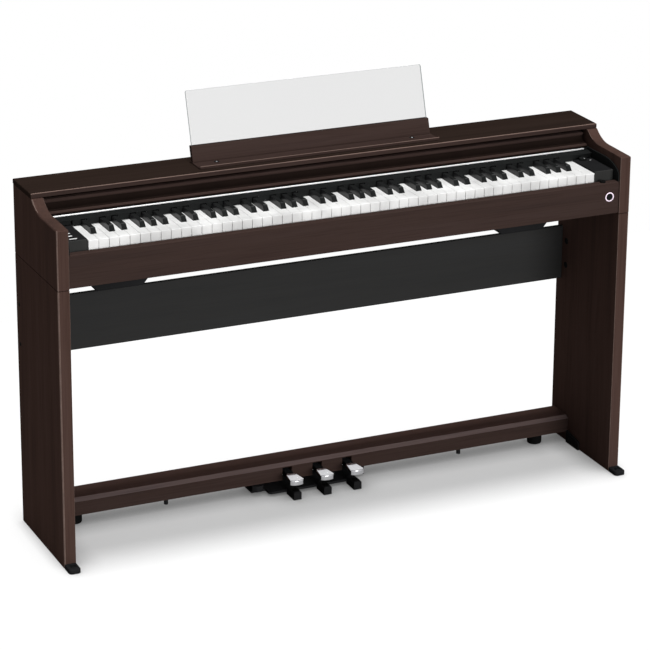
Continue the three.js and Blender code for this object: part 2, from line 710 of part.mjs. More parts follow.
function addMusicRest() {
  const lean = THREE.MathUtils.degToRad(restLean);
  const seat = lidTopZ + fit + ledgePlate + fit;
  const backset = Math.tan(lean) * restBaseHeight;
  const profile = outline([
    [restFrontY, seat], [restFrontY + restThick, seat],
    [restFrontY + restThick + backset, seat + restBaseHeight], [restFrontY + backset, seat + restBaseHeight],
  ]);
  const tongues = [-1, 1].map((sign) => block(
    sign * restTongueX - restTongueWidth / 2, sign * restTongueX + restTongueWidth / 2,
    tongueFrontY(), tongueFrontY() + restTongueThick, seat - restTongueDrop, seat + restTongueDrop));

  const frame = new THREE.Group();
  const grooveBottom = seat + restBaseHeight - restGrooveDepth;
  frame.position.set(0, restFrontY + restThick / 2 + Math.tan(lean) * (grooveBottom - seat), grooveBottom);
  frame.rotation.x = -lean;
  frame.updateMatrix();
  const half = restHalfWidth - restPanelInset;
  const grooveHalf = restPanelThick / 2 + fit;
  const groove = block(-half - fit, half + fit, -grooveHalf, grooveHalf, -fit, restGrooveDepth * 2)
    .applyMatrix4(frame.matrix);
  const base = [alongX(profile, -restHalfWidth, restHalfWidth), ...tongues].map(solid)
    .reduce((whole, next) => whole.add(next));
  part('music_rest_base', surface(base.subtract(solid(groove))), brown);

  const panel = new THREE.Shape();
  const r = restCornerRadius;
  panel.moveTo(-half, 0);
  panel.lineTo(half, 0);
  panel.lineTo(half, restPanelLength - r);
  panel.absarc(half - r, restPanelLength - r, r, 0, Math.PI / 2);
  panel.absarc(-half + r, restPanelLength - r, r, Math.PI / 2, Math.PI);
  const sheet = alongY(panel, -restPanelThick / 2, restPanelThick / 2);
  part('music_rest_panel', sheet, clear, frame);
  piano.add(frame);
}

// ---------- keys ----------
// Each octave from A: true where a black key follows the white key.
const blackAfter = [true, false, true, true, false, true, true];
const blackShift = [blackShiftTrio, 0, -blackShiftPair, blackShiftPair, 0, -blackShiftTrio, 0];

function hasBlack(white) {
  return white >= 0 && white < whiteKeyCount - 1 && blackAfter[white % 7];
}

function boundaryX(white) {
  return -keysHalf + (white + 1) * keyPitch;
}

function blackCentreX(white) {
  return boundaryX(white) + blackShift[white % 7];
}

// The comb outline of white keys first..last, joined by a bar behind the hinge.
function whiteOutline(first, last) {
  const frontY = keyFrontY;
  const headY = keyFrontY + whiteHead;
  const backY = keyHingeY + keyTail;
  const notch = blackWidth / 2 + keyGap;
  const barY = backY - keyTail / 2;
  const points = [];
  for (let white = first; white <= last; white += 1) {
    const left = boundaryX(white - 1) + keyGap / 2;
    const right = boundaryX(white) - keyGap / 2;
    const tailLeft = hasBlack(white - 1) ? blackCentreX(white - 1) + notch : left;
    const tailRight = hasBlack(white) ? blackCentreX(white) - notch : right;
    if (white > first) points.push([tailLeft, barY]);
    if (tailLeft > left) points.push([tailLeft, headY], [left, headY]);
    points.push([left, frontY], [right, frontY]);
    if (tailRight < right) points.push([right, headY], [tailRight, headY]);
    if (white < last) points.push([tailRight, barY]);
    if (white === last) points.push([tailRight, backY]);
    if (white === first) points.unshift([tailLeft, backY]);
  }
  return outline(points);
}

function whiteKey(first, last = first) {
  return alongZ(whiteOutline(first, last), keyBottomZ, keyTopZ);
}

function blackKey(white) {
  const x = blackCentreX(white);
  const frontY = keyFrontY + whiteHead + keyGap;
  const topZ = keyTopZ + blackRise;
  const endY = keyHingeY - keyTail / 2 + 1;
  const profile = outline([
    [frontY, keyTopZ - blackDepth], [endY, keyTopZ - blackDepth], [endY, topZ],
    [frontY + blackSlope, topZ], [frontY, keyTopZ + 1],
  ]);
  return alongX(profile, x - blackWidth / 2, x + blackWidth / 2);
}

function blackBank(first, last) {
  const whites = [];
  for (let white = first; white <= last; white += 1) {
    if (hasBlack(white)) whites.push(white);
  }
  const barFrontY = keyHingeY - keyTail / 2 + 1 - blackBarLength;
  const bar = block(blackCentreX(whites[0]), blackCentreX(whites[whites.length - 1]),
    barFrontY, barFrontY + blackBarLength - 1, keyTopZ + blackBarLift, keyTopZ + blackBarLift + blackBarHeight);
  return joined(bar, ...whites.map(blackKey));
}

function addKeys() {
  const middleCIndex = 23;
  const lastIndex = middleCIndex + 6;
  const names = ['c', 'd', 'e', 'f', 'g', 'a', 'b'];
  part('white_keys_low', whiteKey(0, middleCIndex - 1), ivory);
  part('white_keys_high', whiteKey(lastIndex + 1, whiteKeyCount - 1), ivory);
  part('black_keys_low', blackBank(0, middleCIndex - 1), ebony);
  part('black_keys_high', blackBank(lastIndex + 1, whiteKeyCount - 2), ebony);
  for (let white = middleCIndex; white <= lastIndex; white += 1) {
    const name = names[white - middleCIndex];
    part(`key_${name}4`, whiteKey(white), ivory);
    if (hasBlack(white)) part(`key_${name}_sharp4`, blackKey(white), ebony);
  }

  const half = keysHalf;
  const base = keybedTopZ + fit;
  const railFront = keyHingeY - chassisRailThick / 2;
  const chassis = outline([
    [keyFrontY + 2, base], [keyHingeY + keyTail, base], [keyHingeY + keyTail, base + chassisPlate],
    [railFront + chassisRailThick, base + chassisPlate], [railFront + chassisRailThick, keyBottomZ - fit],
    [railFront, keyBottomZ - fit], [railFront, base + chassisPlate],
    [chassisFrontRailY + chassisRailThick, base + chassisPlate],
    [chassisFrontRailY + chassisRailThick, chassisFrontRailZ],
    [chassisFrontRailY, chassisFrontRailZ], [chassisFrontRailY, base + chassisPlate],
    [keyFrontY + 2, base + chassisPlate],
  ]);
  part('key_chassis', alongX(chassis, -half, half), steel);
}

addStandPanels();
addFrontFeet();
addModestyBoard();
addPedalBar();
addCornerBrackets();
addPedalUnit();
addCheeks();
addCabinet();
addJackPlate();
addEndBlocks();
addGuides();
addFascia();
addKeyCover();
addElectronics();
addSpeakers();
addControls();
addMusicRest();
addKeys();

// The origin is the middle of the footprint, on the floor.
piano.position.y = -(lidBackY - footReach) / 2;
export default piano;
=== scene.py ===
"""Digital piano on stand: the looks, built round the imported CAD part.

Pieces are modelled in the piano's own millimetres: X to the player's right, Y back from the
front faces of the side panels, Z up from the floor. settle() turns a finished piece into metres
in the part's frame, with its object at the origin.
"""
import math
from contextlib import contextmanager

import bmesh
import bpy
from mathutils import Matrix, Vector


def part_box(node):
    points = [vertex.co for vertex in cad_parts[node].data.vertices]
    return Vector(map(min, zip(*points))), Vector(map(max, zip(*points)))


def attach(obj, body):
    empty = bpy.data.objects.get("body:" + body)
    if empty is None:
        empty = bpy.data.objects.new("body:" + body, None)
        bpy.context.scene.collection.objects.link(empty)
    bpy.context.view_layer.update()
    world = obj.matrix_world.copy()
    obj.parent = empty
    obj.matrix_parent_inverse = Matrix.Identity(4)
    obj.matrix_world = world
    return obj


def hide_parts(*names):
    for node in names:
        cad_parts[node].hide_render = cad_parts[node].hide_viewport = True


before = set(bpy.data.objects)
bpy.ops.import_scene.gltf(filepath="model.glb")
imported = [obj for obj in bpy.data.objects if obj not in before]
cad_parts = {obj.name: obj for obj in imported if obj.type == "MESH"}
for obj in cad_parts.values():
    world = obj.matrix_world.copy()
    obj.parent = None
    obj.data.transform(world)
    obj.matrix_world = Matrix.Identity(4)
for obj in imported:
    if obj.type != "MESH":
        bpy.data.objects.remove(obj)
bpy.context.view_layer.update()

MM = 0.001
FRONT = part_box("stand_panel_left")[0].y  # the side panels' front faces, in the part's frame
ACROSS, DEEP, UP = 0, 1, 2  # the axes


def span(node):
    """A CAD node's lowest and highest corners in the piano's millimetres."""
    low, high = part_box(node)
    shift = Vector((0, FRONT, 0))
    return (low - shift) / MM, (high - shift) / MM


def place(x, y, z):
    """A point of the piano, in metres."""
    return Vector((x * MM, FRONT + y * MM, z * MM))


# ---------- camera ----------
CAMERA_PLACE = (-2506, -5354, 2641)
CAMERA_DOWN, CAMERA_ASIDE, CAMERA_ROLL = 0.3254, 0.4263, 0.0066  # radians
LENS, SENSOR, SHIFT_DOWN = 157.3, 36, 0.12


def add_camera():
    data = bpy.data.cameras.new("Camera")
    camera = bpy.data.objects.new("Camera", data)
    bpy.context.scene.collection.objects.link(camera)
    camera.location = place(*CAMERA_PLACE)
    camera.rotation_euler = (math.pi / 2 - CAMERA_DOWN, 0, -CAMERA_ASIDE)
    camera.rotation_euler.rotate_axis("Z", CAMERA_ROLL)
    data.sensor_width = SENSOR
    data.lens = LENS
    data.shift_y = -SHIFT_DOWN
    data.clip_start, data.clip_end = 0.1, 200
    bpy.context.scene.camera = camera


add_camera()


# ---------- materials ----------
class Wire:
    """A socket that Python arithmetic adds Math nodes to."""

    def __init__(self, finish, socket):
        self.finish, self.socket = finish, socket

    def math(self, operation, *values):
        return self.finish.wire("Math", dict(enumerate(values)), operation=operation)

    def __add__(self, other):
        return self.math("ADD", self, other)

    def __sub__(self, other):
        return self.math("SUBTRACT", self, other)

    def __rsub__(self, other):
        return self.math("SUBTRACT", other, self)

    def __mul__(self, other):
        return self.math("MULTIPLY", self, other)

    __radd__, __rmul__ = __add__, __mul__


class Finish:
    """A material, or the world, and the nodes that make it."""

    def __init__(self, owner, kind="Material"):
        owner.use_nodes = True
        self.owner, self.tree = owner, owner.node_tree
        self.tree.nodes.clear()
        self.output = self.node(f"Output{kind}", {})

    def node(self, kind, inputs, **settings):
        node = self.tree.nodes.new(f"ShaderNode{kind}")
        for key, value in settings.items():
            setattr(node, key, value)
        for key, value in inputs.items():
            if isinstance(value, Wire):
                self.tree.links.new(value.socket, node.inputs[key])
            else:
                node.inputs[key].default_value = value
        return node

    def wire(self, kind, inputs, output=0, **settings):
        """Adds a node and gives one of its outputs."""
        return Wire(self, self.node(kind, inputs, **settings).outputs[output])

    def coords(self, stretch=(1, 1, 1)):
        """Object coordinates in metres, stretched for a pattern."""
        source = self.wire("TexCoord", {}, "Object")
        return self.wire("Mapping", {"Vector": source, "Scale": stretch})

    def noise(self, scale, detail, roughness, stretch=(1, 1, 1)):
        return self.wire("TexNoise", {
            "Vector": self.coords(stretch), "Scale": scale, "Detail": detail, "Roughness": roughness})

    def ramp(self, value, stops):
        """Colours at places from 0 to 1."""
        node = self.node("ValToRGB", {"Fac": value})
        elements = node.color_ramp.elements
        while len(elements) < len(stops):
            elements.new(0.5)
        for element, (position, colour) in zip(elements, stops):
            element.position, element.color = position, (*colour, 1)
        return Wire(self, node.outputs[0])

    def mix(self, factor, first, second, blend="MIX"):
        inputs = {0: factor, 6: first, 7: second}
        return self.wire("Mix", inputs, 2, data_type="RGBA", blend_type=blend)

    def bump(self, height, distance, strength):
        return self.wire("Bump", {"Height": height, "Distance": distance, "Strength": strength})

    def principled(self, **inputs):
        return self.wire("BsdfPrincipled", {
            key.replace("_", " ").title().replace("Ior", "IOR"): value for key, value in inputs.items()})

    def opaque(self, **inputs):
        return self.show(self.principled(**inputs))

    def show(self, shader):
        self.tree.links.new(shader.socket, self.output.inputs["Surface"])
        return self.owner


def new_finish(name):
    return Finish(bpy.data.materials.new(name))


def rgb(red, green, blue):
    """A linear colour from the usual 0 to 255 steps."""
    def linear(step):
        part = step / 255
        return part / 12.92 if part <= 0.04045 else ((part + 0.055) / 1.055) ** 2.4
    return linear(red), linear(green), linear(blue)


def shaded(tone, factor):
    """A tone made darker or paler."""
    return rgb(*(step * factor for step in tone))


def grey(level):
    return (level, level, level, 1)


def laminate(name, tone, stretch, figured=0.6):
    """Dark wood-print laminate: long soft figure, short dark pores, a satin skin."""
    finish = new_finish(name)
    figure = finish.noise(26, 5, 0.6, stretch)
    pores = finish.noise(330, 3, 0.5, tuple(0.35 * part if part < 0.2 else part for part in stretch))
    dark, pale = shaded(tone, 1 - 0.14 * figured), shaded(tone, 1 + 0.12 * figured)
    warm = rgb(tone[0] * (1 + 0.03 * figured), tone[1], tone[2] * (1 - 0.03 * figured))
    colour = finish.ramp(figure, [(0.3, dark), (0.5, warm), (0.72, pale)])
    pitted = finish.ramp(pores, [(0.38, (0.72, 0.7, 0.7)), (0.5, (1, 1, 1))])
    return finish.opaque(
        base_color=finish.mix(0.7 * figured, colour, pitted, "MULTIPLY"), roughness=0.4 + figure * 0.14,
        specular_ior_level=0.0, normal=finish.bump(pores, 0.00006, 0.4))


def moulded(name, tone, roughness=0.5, grain=900, depth=0.00005, specular=0.3):
    """Moulded plastic with a fine spark-eroded texture and slight mottling."""
    finish = new_finish(name)
    texture = finish.noise(grain, 2, 0.5)
    clouds = finish.noise(14, 3, 0.5)
    return finish.opaque(
        base_color=finish.ramp(clouds, [(0.3, shaded(tone, 0.92)), (0.7, shaded(tone, 1.06))]),
        roughness=roughness + (clouds - 0.5) * 0.12,
        specular_ior_level=specular, normal=finish.bump(texture, depth, 0.5))


def metal(name, tone, roughness, streak=(1, 1, 1), variation=0.1):
    """Plated or brushed metal: streaks in the roughness, and faint handling marks."""
    finish = new_finish(name)
    lines = finish.noise(240, 3, 0.6, streak)
    smudge = finish.noise(30, 3, 0.5)
    return finish.opaque(
        base_color=finish.ramp(lines, [(0.2, shaded(tone, 0.94)), (0.8, rgb(*tone))]),
        metallic=1.0, roughness=roughness + (lines * smudge) * variation,
        normal=finish.bump(lines, 0.00001, 0.5))


def clear_sheet(name, tone, gloss):
    """Clear acrylic: what is behind shows through it, with a thin even reflection."""
    finish = new_finish(name)
    haze = finish.noise(3, 2, 0.5)
    through = finish.wire("BsdfTransparent", {"Color": (*tone, 1)})
    skin = finish.principled(base_color=(0.85, 0.87, 0.88, 1), roughness=0.04 + haze * 0.04)
    return finish.show(finish.wire("MixShader", {0: haze * 0.02 + gloss, 1: through, 2: skin}))


def circuit_board(name):
    """Solder mask with pale tracks that run square to each other."""
    finish = new_finish(name)
    tracks = finish.wire("TexBrick", {
        "Vector": finish.coords(), "Scale": 60, "Mortar Size": 0.03, "Color1": (*rgb(30, 84, 52), 1),
        "Color2": (*rgb(26, 76, 46), 1), "Mortar": (*rgb(70, 130, 84), 1)}, offset=0.5)
    mottle = finish.noise(80, 2, 0.5)
    return finish.opaque(base_color=tracks, roughness=0.35 + mottle * 0.2)


def glowing(name, tone, strength):
    """A milky light guide, lit from behind."""
    finish = new_finish(name)
    clouds = finish.noise(200, 2, 0.5)
    colour = finish.ramp(clouds, [(0.2, shaded(tone, 0.96)), (0.8, rgb(*tone))])
    return finish.opaque(
        base_color=colour, roughness=0.35 + clouds * 0.1,
        emission_color=colour, emission_strength=strength)


ALONG_X, ALONG_Z = (0.06, 1, 1), (1, 1, 0.06)
BROWN = laminate("brown_laminate", (61, 49, 46), ALONG_X)
# A darker copy of the brown laminate for the lid's top: painted shade.
DARK = laminate("dark_laminate_long_grain", (44, 35, 31), ALONG_X)
DARK_UPRIGHT = laminate("dark_laminate_upright_grain", (75, 58, 53), ALONG_Z)
# The bar's top in a paler tone and its front in a darker one: light and shade painted on one laminate.
BAR = laminate("red_brown_laminate", (76, 59, 55), ALONG_X)
BAR_FRONT_SHADE = laminate("red_brown_laminate_front", (60, 48, 45), ALONG_X)
# A paler tone for the bar's chamfer: a painted highlight.
BAR_CHAMFER_HIGHLIGHT = laminate("red_brown_laminate_edge", (96, 83, 82), ALONG_X)
# A paler tone for rounded front edges: a painted highlight where the edge catches the light.
EDGE_HIGHLIGHT = laminate("pale_edge_band", (118, 101, 95), ALONG_X)
BLACK_BOARD = laminate("black_laminate", (50, 50, 50), ALONG_X, 0.2)
BLACK = moulded("black_moulding", (36, 36, 37), specular=0.0)
# A paler black for the end blocks' front faces: painted light.
BLACK_FRONT_LIGHT = moulded("satin_black_moulding", (56, 56, 55), specular=0.0)
GLOSS_BLACK = moulded("smooth_black_moulding", (33, 34, 34), 0.3, 300, 0.00001, 0.0)
RUBBER = moulded("black_rubber", (20, 20, 20), 0.8, 500, 0.00008, 0.0)
IVORY = moulded("white_key_plastic", (245, 245, 244), 0.34, 700, 0.00001, 0.3)
EBONY = moulded("black_key_plastic", (33, 34, 34), 0.38, 800, 0.00004, 0.0)
# Paler blacks with more gloss for the black keys' sides and the bevel over their fronts: a painted sheen
# and a painted glint on top of real gloss.
EBONY_SIDE_SHEEN = moulded("black_key_side", (40, 40, 41), 0.3, 800, 0.00001, 0.25)
EBONY_EDGE_GLINT = moulded("black_key_edge", (48, 48, 49), 0.25, 800, 0.00001, 0.7)
SILVER = metal("silver_strip_metal", (245, 245, 246), 0.42, (0.01, 1, 1), 0.05)
CHROME = metal("chrome_plating", (206, 206, 209), 0.08, (1, 0.2, 1), 0.05)
STEEL = metal("zinc_plated_steel", (172, 176, 182), 0.35)
CLEAR = clear_sheet("clear_acrylic", (0.9, 0.9, 0.9), 0.0)
# A darker see-through tint for the sheet's edges: painted shade for the light that bends inside the edge.
CLEAR_EDGE_SHADE = clear_sheet("clear_acrylic_edge", (0.36, 0.39, 0.39), 0.2)
RING = glowing("milky_light_guide", (244, 226, 240), 0.35)
CIRCUIT = circuit_board("green_circuit_board")
PRINT = moulded("white_print", (250, 250, 250), 0.5, 900, 0.00001)
# A darker brown for the cover's hollow under the lid: painted shade.
HOLLOW_SHADE = moulded("dark_brown_grip", (33, 25, 22), 0.5, 500, 0.00002, 0.0)
FELT = moulded("dark_felt", (46, 20, 24), 0.95, 1500, 0.0004, 0.1)


# ---------- modelling helpers ----------
def take(*pieces):
    """Selects these pieces alone and makes the first the active one."""
    bpy.ops.object.select_all(action="DESELECT")
    for piece in pieces:
        piece.select_set(True)
    bpy.context.view_layer.objects.active = pieces[0]


def primitive(kind, name, **where):
    getattr(bpy.ops.mesh, f"primitive_{kind}_add")(**where)
    piece = bpy.context.object
    piece.name = piece.data.name = name
    return piece


@contextmanager
def editing(piece, mode="FACE"):
    take(piece)
    bpy.ops.object.mode_set(mode="EDIT")
    bpy.ops.mesh.select_mode(type=mode)
    yield bmesh.from_edit_mesh(piece.data)
    bpy.ops.object.mode_set(mode="OBJECT")


def modified(piece, kind, **settings):
    """Applies a modifier to a piece."""
    take(piece)
    modifier = piece.modifiers.new(kind, kind)
    for key, value in settings.items():
        setattr(modifier, key, value)
    bpy.ops.object.modifier_apply(modifier=modifier.name)
    return piece


def pick(mesh, kind, test):
    """Selects the faces or edges that pass the test, and nothing else."""
    bpy.ops.mesh.select_all(action="DESELECT")
    found = [item for item in getattr(mesh, kind) if test(item)]
    for item in found:
        item.select_set(True)
    return len(found)


def middle(edge):
    return (edge.verts[0].co + edge.verts[1].co) / 2


def runs(edge, axis):
    """Whether an edge runs along an axis."""
    direction = (edge.verts[1].co - edge.verts[0].co).normalized()
    return abs(direction[axis]) > 0.99


def sharp(edge, angle=25):
    return len(edge.link_faces) == 2 and edge.calc_face_angle(0) > math.radians(angle)


def on_top(top):
    """A test for the sharp edges of a top."""
    return lambda edge: sharp(edge) and middle(edge).z > top - 1


def box(name, x0, x1, y0, y1, z0, z1):
    piece = primitive("cube", name, size=1, location=((x0 + x1) / 2, (y0 + y1) / 2, (z0 + z1) / 2),
                      scale=(x1 - x0, y1 - y0, z1 - z0))
    bpy.ops.object.transform_apply()
    return piece


def block(name, low, high):
    """A box between two corners."""
    return box(name, low.x, high.x, low.y, high.y, low.z, high.z)


def faced(piece, plain, *others):
    """One finish all over, and others on the faces whose direction and middle pass a test."""
    piece.data.materials.append(plain)
    for number, (finish, test) in enumerate(others, 1):
        piece.data.materials.append(finish)
        for face in piece.data.polygons:
            if test(face.normal, face.center):
                face.material_index = number
    return piece


def round_edges(piece, width, segments, test):
    """Bevels the edges that pass the test."""
    with editing(piece, "EDGE") as mesh:
        if pick(mesh, "edges", test):
            bpy.ops.mesh.bevel(offset=width, segments=segments, affect="EDGES", clamp_overlap=True)


def ease(piece, width, segments=2, angle=30):
    """Eases all sharp edges with a bevel modifier."""
    return modified(piece, "BEVEL", width=width, segments=segments, limit_method="ANGLE",
                    angle_limit=math.radians(angle), use_clamp_overlap=True)


def board(name, x0, x1, y0, y1, z0, z1, radius=1.0, segments=2):
    return ease(box(name, x0, x1, y0, y1, z0, z1), radius, segments)


def arc(centre, radii, start, end, steps):
    """Points on an arc, from one angle to another in degrees."""
    (x, y), (radius_x, radius_y) = centre, radii
    turns = [math.radians(start + (end - start) * step / steps) for step in range(steps + 1)]
    return [(x + radius_x * math.cos(turn), y + radius_y * math.sin(turn)) for turn in turns]


def along(axis, length):
    """A vector along an axis."""
    return [length if other == axis else 0 for other in (ACROSS, DEEP, UP)]


def outlined(name, axis, points, start, length):
    """A board cut to an outline: a filled circle's vertices are moved to the points, and it is
    extruded. The outline lies square to the axis, its points in the order of the other two."""
    piece = primitive("circle", name, vertices=len(points), fill_type="NGON")
    first, second = [other for other in (ACROSS, DEEP, UP) if other != axis]
    for vertex, point in zip(piece.data.vertices, points):
        spot = [start] * 3
        spot[first], spot[second] = point
        vertex.co = spot
    with editing(piece):
        bpy.ops.mesh.select_all(action="SELECT")
        bpy.ops.mesh.extrude_region_move(TRANSFORM_OT_translate={"value": along(axis, length)})
        bpy.ops.mesh.select_all(action="SELECT")
        bpy.ops.mesh.normals_make_consistent(inside=False)
    return piece


def from_side(name, points, low, high):
    """A board cut to an outline seen from the side, as wide as the box between two corners."""
    return outlined(name, ACROSS, points, low.x, high.x - low.x)


def turned(name, axis, centre, profile, steps=32):
    """A turned piece: a profile of (radius, distance along the axis) points, spun round it."""
    piece = primitive("circle", name, vertices=len(profile), fill_type="NOTHING")
    side = (axis + 1) % 3
    for vertex, (radius, distance) in zip(piece.data.vertices, profile):
        spot = Vector(centre)
        spot[axis] += distance
        spot[side] += radius
        vertex.co = spot
    with editing(piece, "EDGE") as mesh:
        mesh.verts.ensure_lookup_table()
        first, last = mesh.verts[0], mesh.verts[len(profile) - 1]
        pick(mesh, "edges", lambda edge: set(edge.verts) == {first, last})
        bpy.ops.mesh.delete(type="EDGE")
        bpy.ops.mesh.select_all(action="SELECT")
        bpy.ops.mesh.spin(steps=steps, angle=2 * math.pi, center=centre, axis=along(axis, 1))
        bpy.ops.mesh.select_all(action="SELECT")
        bpy.ops.mesh.remove_doubles(threshold=0.001)
        bpy.ops.mesh.normals_make_consistent(inside=False)
    return piece


def facing(sign, profile):
    """A turned piece's profile, looking up or down its axis."""
    return [(radius, sign * distance) for radius, distance in profile]


def rod(name, axis, centre, radius, start, end, eased=0.4, steps=24):
    """A turned pin with eased ends, between two distances along the axis."""
    return turned(name, axis, centre, [
        (0, start), (radius - eased, start), (radius, start + eased),
        (radius, end - eased), (radius - eased, end), (0, end)], steps)


def carve(piece, *cutters):
    """Cuts closed shapes out of a piece."""
    for cutter in cutters:
        modified(piece, "BOOLEAN", operation="DIFFERENCE", solver="EXACT", object=cutter)
        bpy.data.objects.remove(cutter)


def join(*pieces):
    take(*pieces)
    bpy.ops.object.join()
    return pieces[0]


def copied(piece, name, dx):
    """A copy with its own mesh, moved sideways."""
    twin = piece.copy()
    twin.data = piece.data.copy()
    twin.name = twin.data.name = name
    bpy.context.scene.collection.objects.link(twin)
    take(twin)
    twin.location = (dx, 0, 0)
    bpy.ops.object.transform_apply()
    return twin


def settle(piece, finish, replaced=None, body="cabinet", smooth=50):
    """Puts a finished piece into the frame in metres and says what it is."""
    take(piece)
    piece.scale = (MM, MM, MM)
    piece.location = (0, FRONT, 0)
    bpy.ops.object.transform_apply()
    bpy.ops.object.shade_smooth_by_angle(angle=math.radians(smooth))
    modified(piece, "WEIGHTED_NORMAL", keep_sharp=True)
    if not piece.data.materials:
        piece.data.materials.append(finish)
    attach(piece, body)
    if replaced:
        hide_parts(replaced)


def screw(name, axis, seat, radius, sign):
    """A pan-head screw with a cross recess, its head on the seat and facing along the axis."""
    head = turned(name, axis, seat, facing(sign, [
        (0, -1.2), (radius * 0.5, -1.2), (radius * 0.5, 0), (radius, 0), (radius, radius * 0.22),
        (radius * 0.8, radius * 0.48), (radius * 0.4, radius * 0.6), (0, radius * 0.62)]), 20)
    top = Vector(seat)
    top[axis] += sign * radius * 0.6
    for turn in (1, 2):
        reach = Vector([radius * 0.16] * 3)
        reach[axis] = radius * 0.35
        reach[(axis + turn) % 3] = radius * 0.55
        carve(head, block("cutter", top - reach, top + reach))
    return head


def wire(name, points, radius):
    """A round wire along points, made a mesh."""
    curve = bpy.data.curves.new(name, "CURVE")
    curve.dimensions = "3D"
    curve.bevel_depth, curve.bevel_resolution, curve.use_fill_caps = radius, 2, True
    spline = curve.splines.new("POLY")
    spline.points.add(len(points) - 1)
    for point, spot in zip(spline.points, points):
        point.co = (*spot, 1)
    piece = bpy.data.objects.new(name, curve)
    bpy.context.scene.collection.objects.link(piece)
    take(piece)
    bpy.ops.object.convert(target="MESH")
    return bpy.context.object


SIDES = (("left", -1), ("right", 1))


def pairs(kind):
    """The left and the right CAD node of a kind: side, sign, name, lowest and highest corner."""
    for side, sign in SIDES:
        node = f"{kind}_{side}"
        yield side, sign, node, *span(node)


INNER_X = span("stand_panel_right")[0].x  # inner faces of the side panels
OUTER_X = span("stand_panel_right")[1].x

PEDAL_STEP = 76
PEDALS = (("left", -PEDAL_STEP), ("middle", 0), ("right", PEDAL_STEP))

PITCH, GAP, WHITES = 23.5, 0.7, 52
KEYS_EDGE = PITCH * WHITES / 2  # half the keyboard's width
KEY_LOW, KEY_HIGH = span("white_keys_low")
KEY_TOP, KEY_BOTTOM = KEY_HIGH.z, KEY_LOW.z
KEY_FRONT, KEY_BACK = KEY_LOW.y, KEY_HIGH.y
BLACK_TOP = span("black_keys_low")[1].z
BLACK_WIDTH = 13
HEAD = 38  # the white keys' wide part
BLACK_SHIFT = {0: 3, 2: -2.2, 3: 2.2, 5: -3, 6: 0}  # by white key in the octave from A
NOTE_NAMES = "cdefgab"
OCTAVE_START = 23  # middle C among the white keys


def faces_front(way, _):
    return way.y < -0.95


def rounded_front(way, _):
    """Whether a face belongs to the rounding between a board's top and its front."""
    return 0.3 < way.z < 0.95 and way.y < -0.25


# ---------- stand ----------
CHEEK_FRONT_TOP = 773.0
CURVE_FRONT, CURVE_BACK = 100.0, 157.0  # the hollow curve in the cheek's top
BOLT_BACK, BOLT_HEIGHTS = 262, (525, 432)  # caps outside the side panels
CAM_BACK, CAM_HEIGHTS = 238, (500, 440)  # cam covers inside them


def side_board(sign, name, node, points, curved_top=False):
    """A side board: its outer front edge is rounded over and painted paler there as a highlight, the rest
    is eased.
    """
    low, high = span(node)
    piece = from_side(name, points, low, high)

    def front_edge(edge, at_x):
        spot = middle(edge)
        if abs(spot.x - at_x) > 0.1 or not sharp(edge):
            return False
        return spot.y < 1 or (curved_top and spot.y < CURVE_BACK + 3 and spot.z > low.z + 5)

    outer, inner = (high.x, low.x) if sign > 0 else (low.x, high.x)
    round_edges(piece, 5, 5, lambda edge: front_edge(edge, outer))
    round_edges(piece, 1.8, 3, lambda edge: front_edge(edge, inner))
    ease(piece, 0.7, 2, 40)
    # The rounded front edge faces get the paler tone: a painted highlight.
    faced(piece, DARK_UPRIGHT, (EDGE_HIGHLIGHT, lambda way, _: abs(way.x) > 0.3 and way.y < -0.25))
    settle(piece, DARK_UPRIGHT, node)


def cheek_points(low, high):
    """The cheek from the side: a low front, a hollow curve up to the lid, a square back."""
    top, seam = CHEEK_FRONT_TOP, low.z + 1
    start = Vector((CURVE_FRONT, top + 1.5))
    run, rise = Vector((CURVE_BACK, high.z)) - start
    angle = 2 * math.atan2(rise, run)
    radius = run / math.sin(angle)
    curve = arc((start.x, start.y + radius), (radius, radius), math.degrees(angle) - 90, -90, 24)
    return [(0, seam), (high.y, seam), (high.y, high.z), *curve,
            (3, top + 0.2), (0.9, top - 0.9), (0, top - 3)]


def add_caps(name, x, y, heights, profile):
    """Round caps at some heights on a side panel."""
    for number, height in enumerate(heights, 1):
        cap = turned(f"{name}_{number}", ACROSS, (x, y, height), profile, 28)
        settle(cap, GLOSS_BLACK)


def add_sides():
    for side, sign in SIDES:
        node = f"stand_panel_{side}"
        low, high = span(node)
        side_board(sign, f"stand_side_{side}", node,
                   [(0, low.z), (high.y, low.z), (high.y, high.z), (0, high.z)])
        node = f"cheek_{side}"
        side_board(sign, f"cheek_board_{side}", node, cheek_points(*span(node)), True)
        add_caps(f"bolt_cap_{side}", sign * OUTER_X, BOLT_BACK, BOLT_HEIGHTS, facing(sign, [
            (0, -2), (4.5, -2), (4.5, 0.2), (3.8, 0.7), (2.2, 0.8), (1.8, 0.3), (0, 0.3)]))
        add_caps(f"cam_cover_{side}", sign * INNER_X, CAM_BACK, CAM_HEIGHTS, facing(-sign, [
            (0, -2), (7.5, -2), (7.5, 0.3), (6.8, 0.8), (0, 0.8)]))


def add_front_feet():
    for side, _, node, low, high in pairs("front_foot"):
        corner = 8
        radii, corner_y = (corner, corner), low.y + corner
        foot = outlined(f"foot_cap_{side}", UP, [
            (low.x, high.y),
            *arc((low.x + corner, corner_y), radii, 180, 270, 8),
            *arc((high.x - corner, corner_y), radii, 270, 360, 8),
            (high.x, high.y)], low.z, high.z - low.z)
        round_edges(foot, 3, 3, lambda edge: on_top(high.z)(edge) and middle(edge).y < -1)
        ease(foot, 0.7, 2, 40)
        x, recess = (low.x + high.x) / 2, high.z - 2.5
        carve(foot, box("cutter", x - 7, x + 7, -21, -9, recess, high.z + 3))
        settle(foot, BLACK, node)
        head = screw(f"foot_screw_{side}", UP, (x, -15, recess), 4, 1)
        settle(head, GLOSS_BLACK)


def add_modesty_board():
    low, high = span("back_panel")
    piece = board("modesty_board", low.x, high.x, low.y, high.y, low.z, high.z - 5, 1.2)
    settle(piece, BLACK_BOARD, "back_panel")


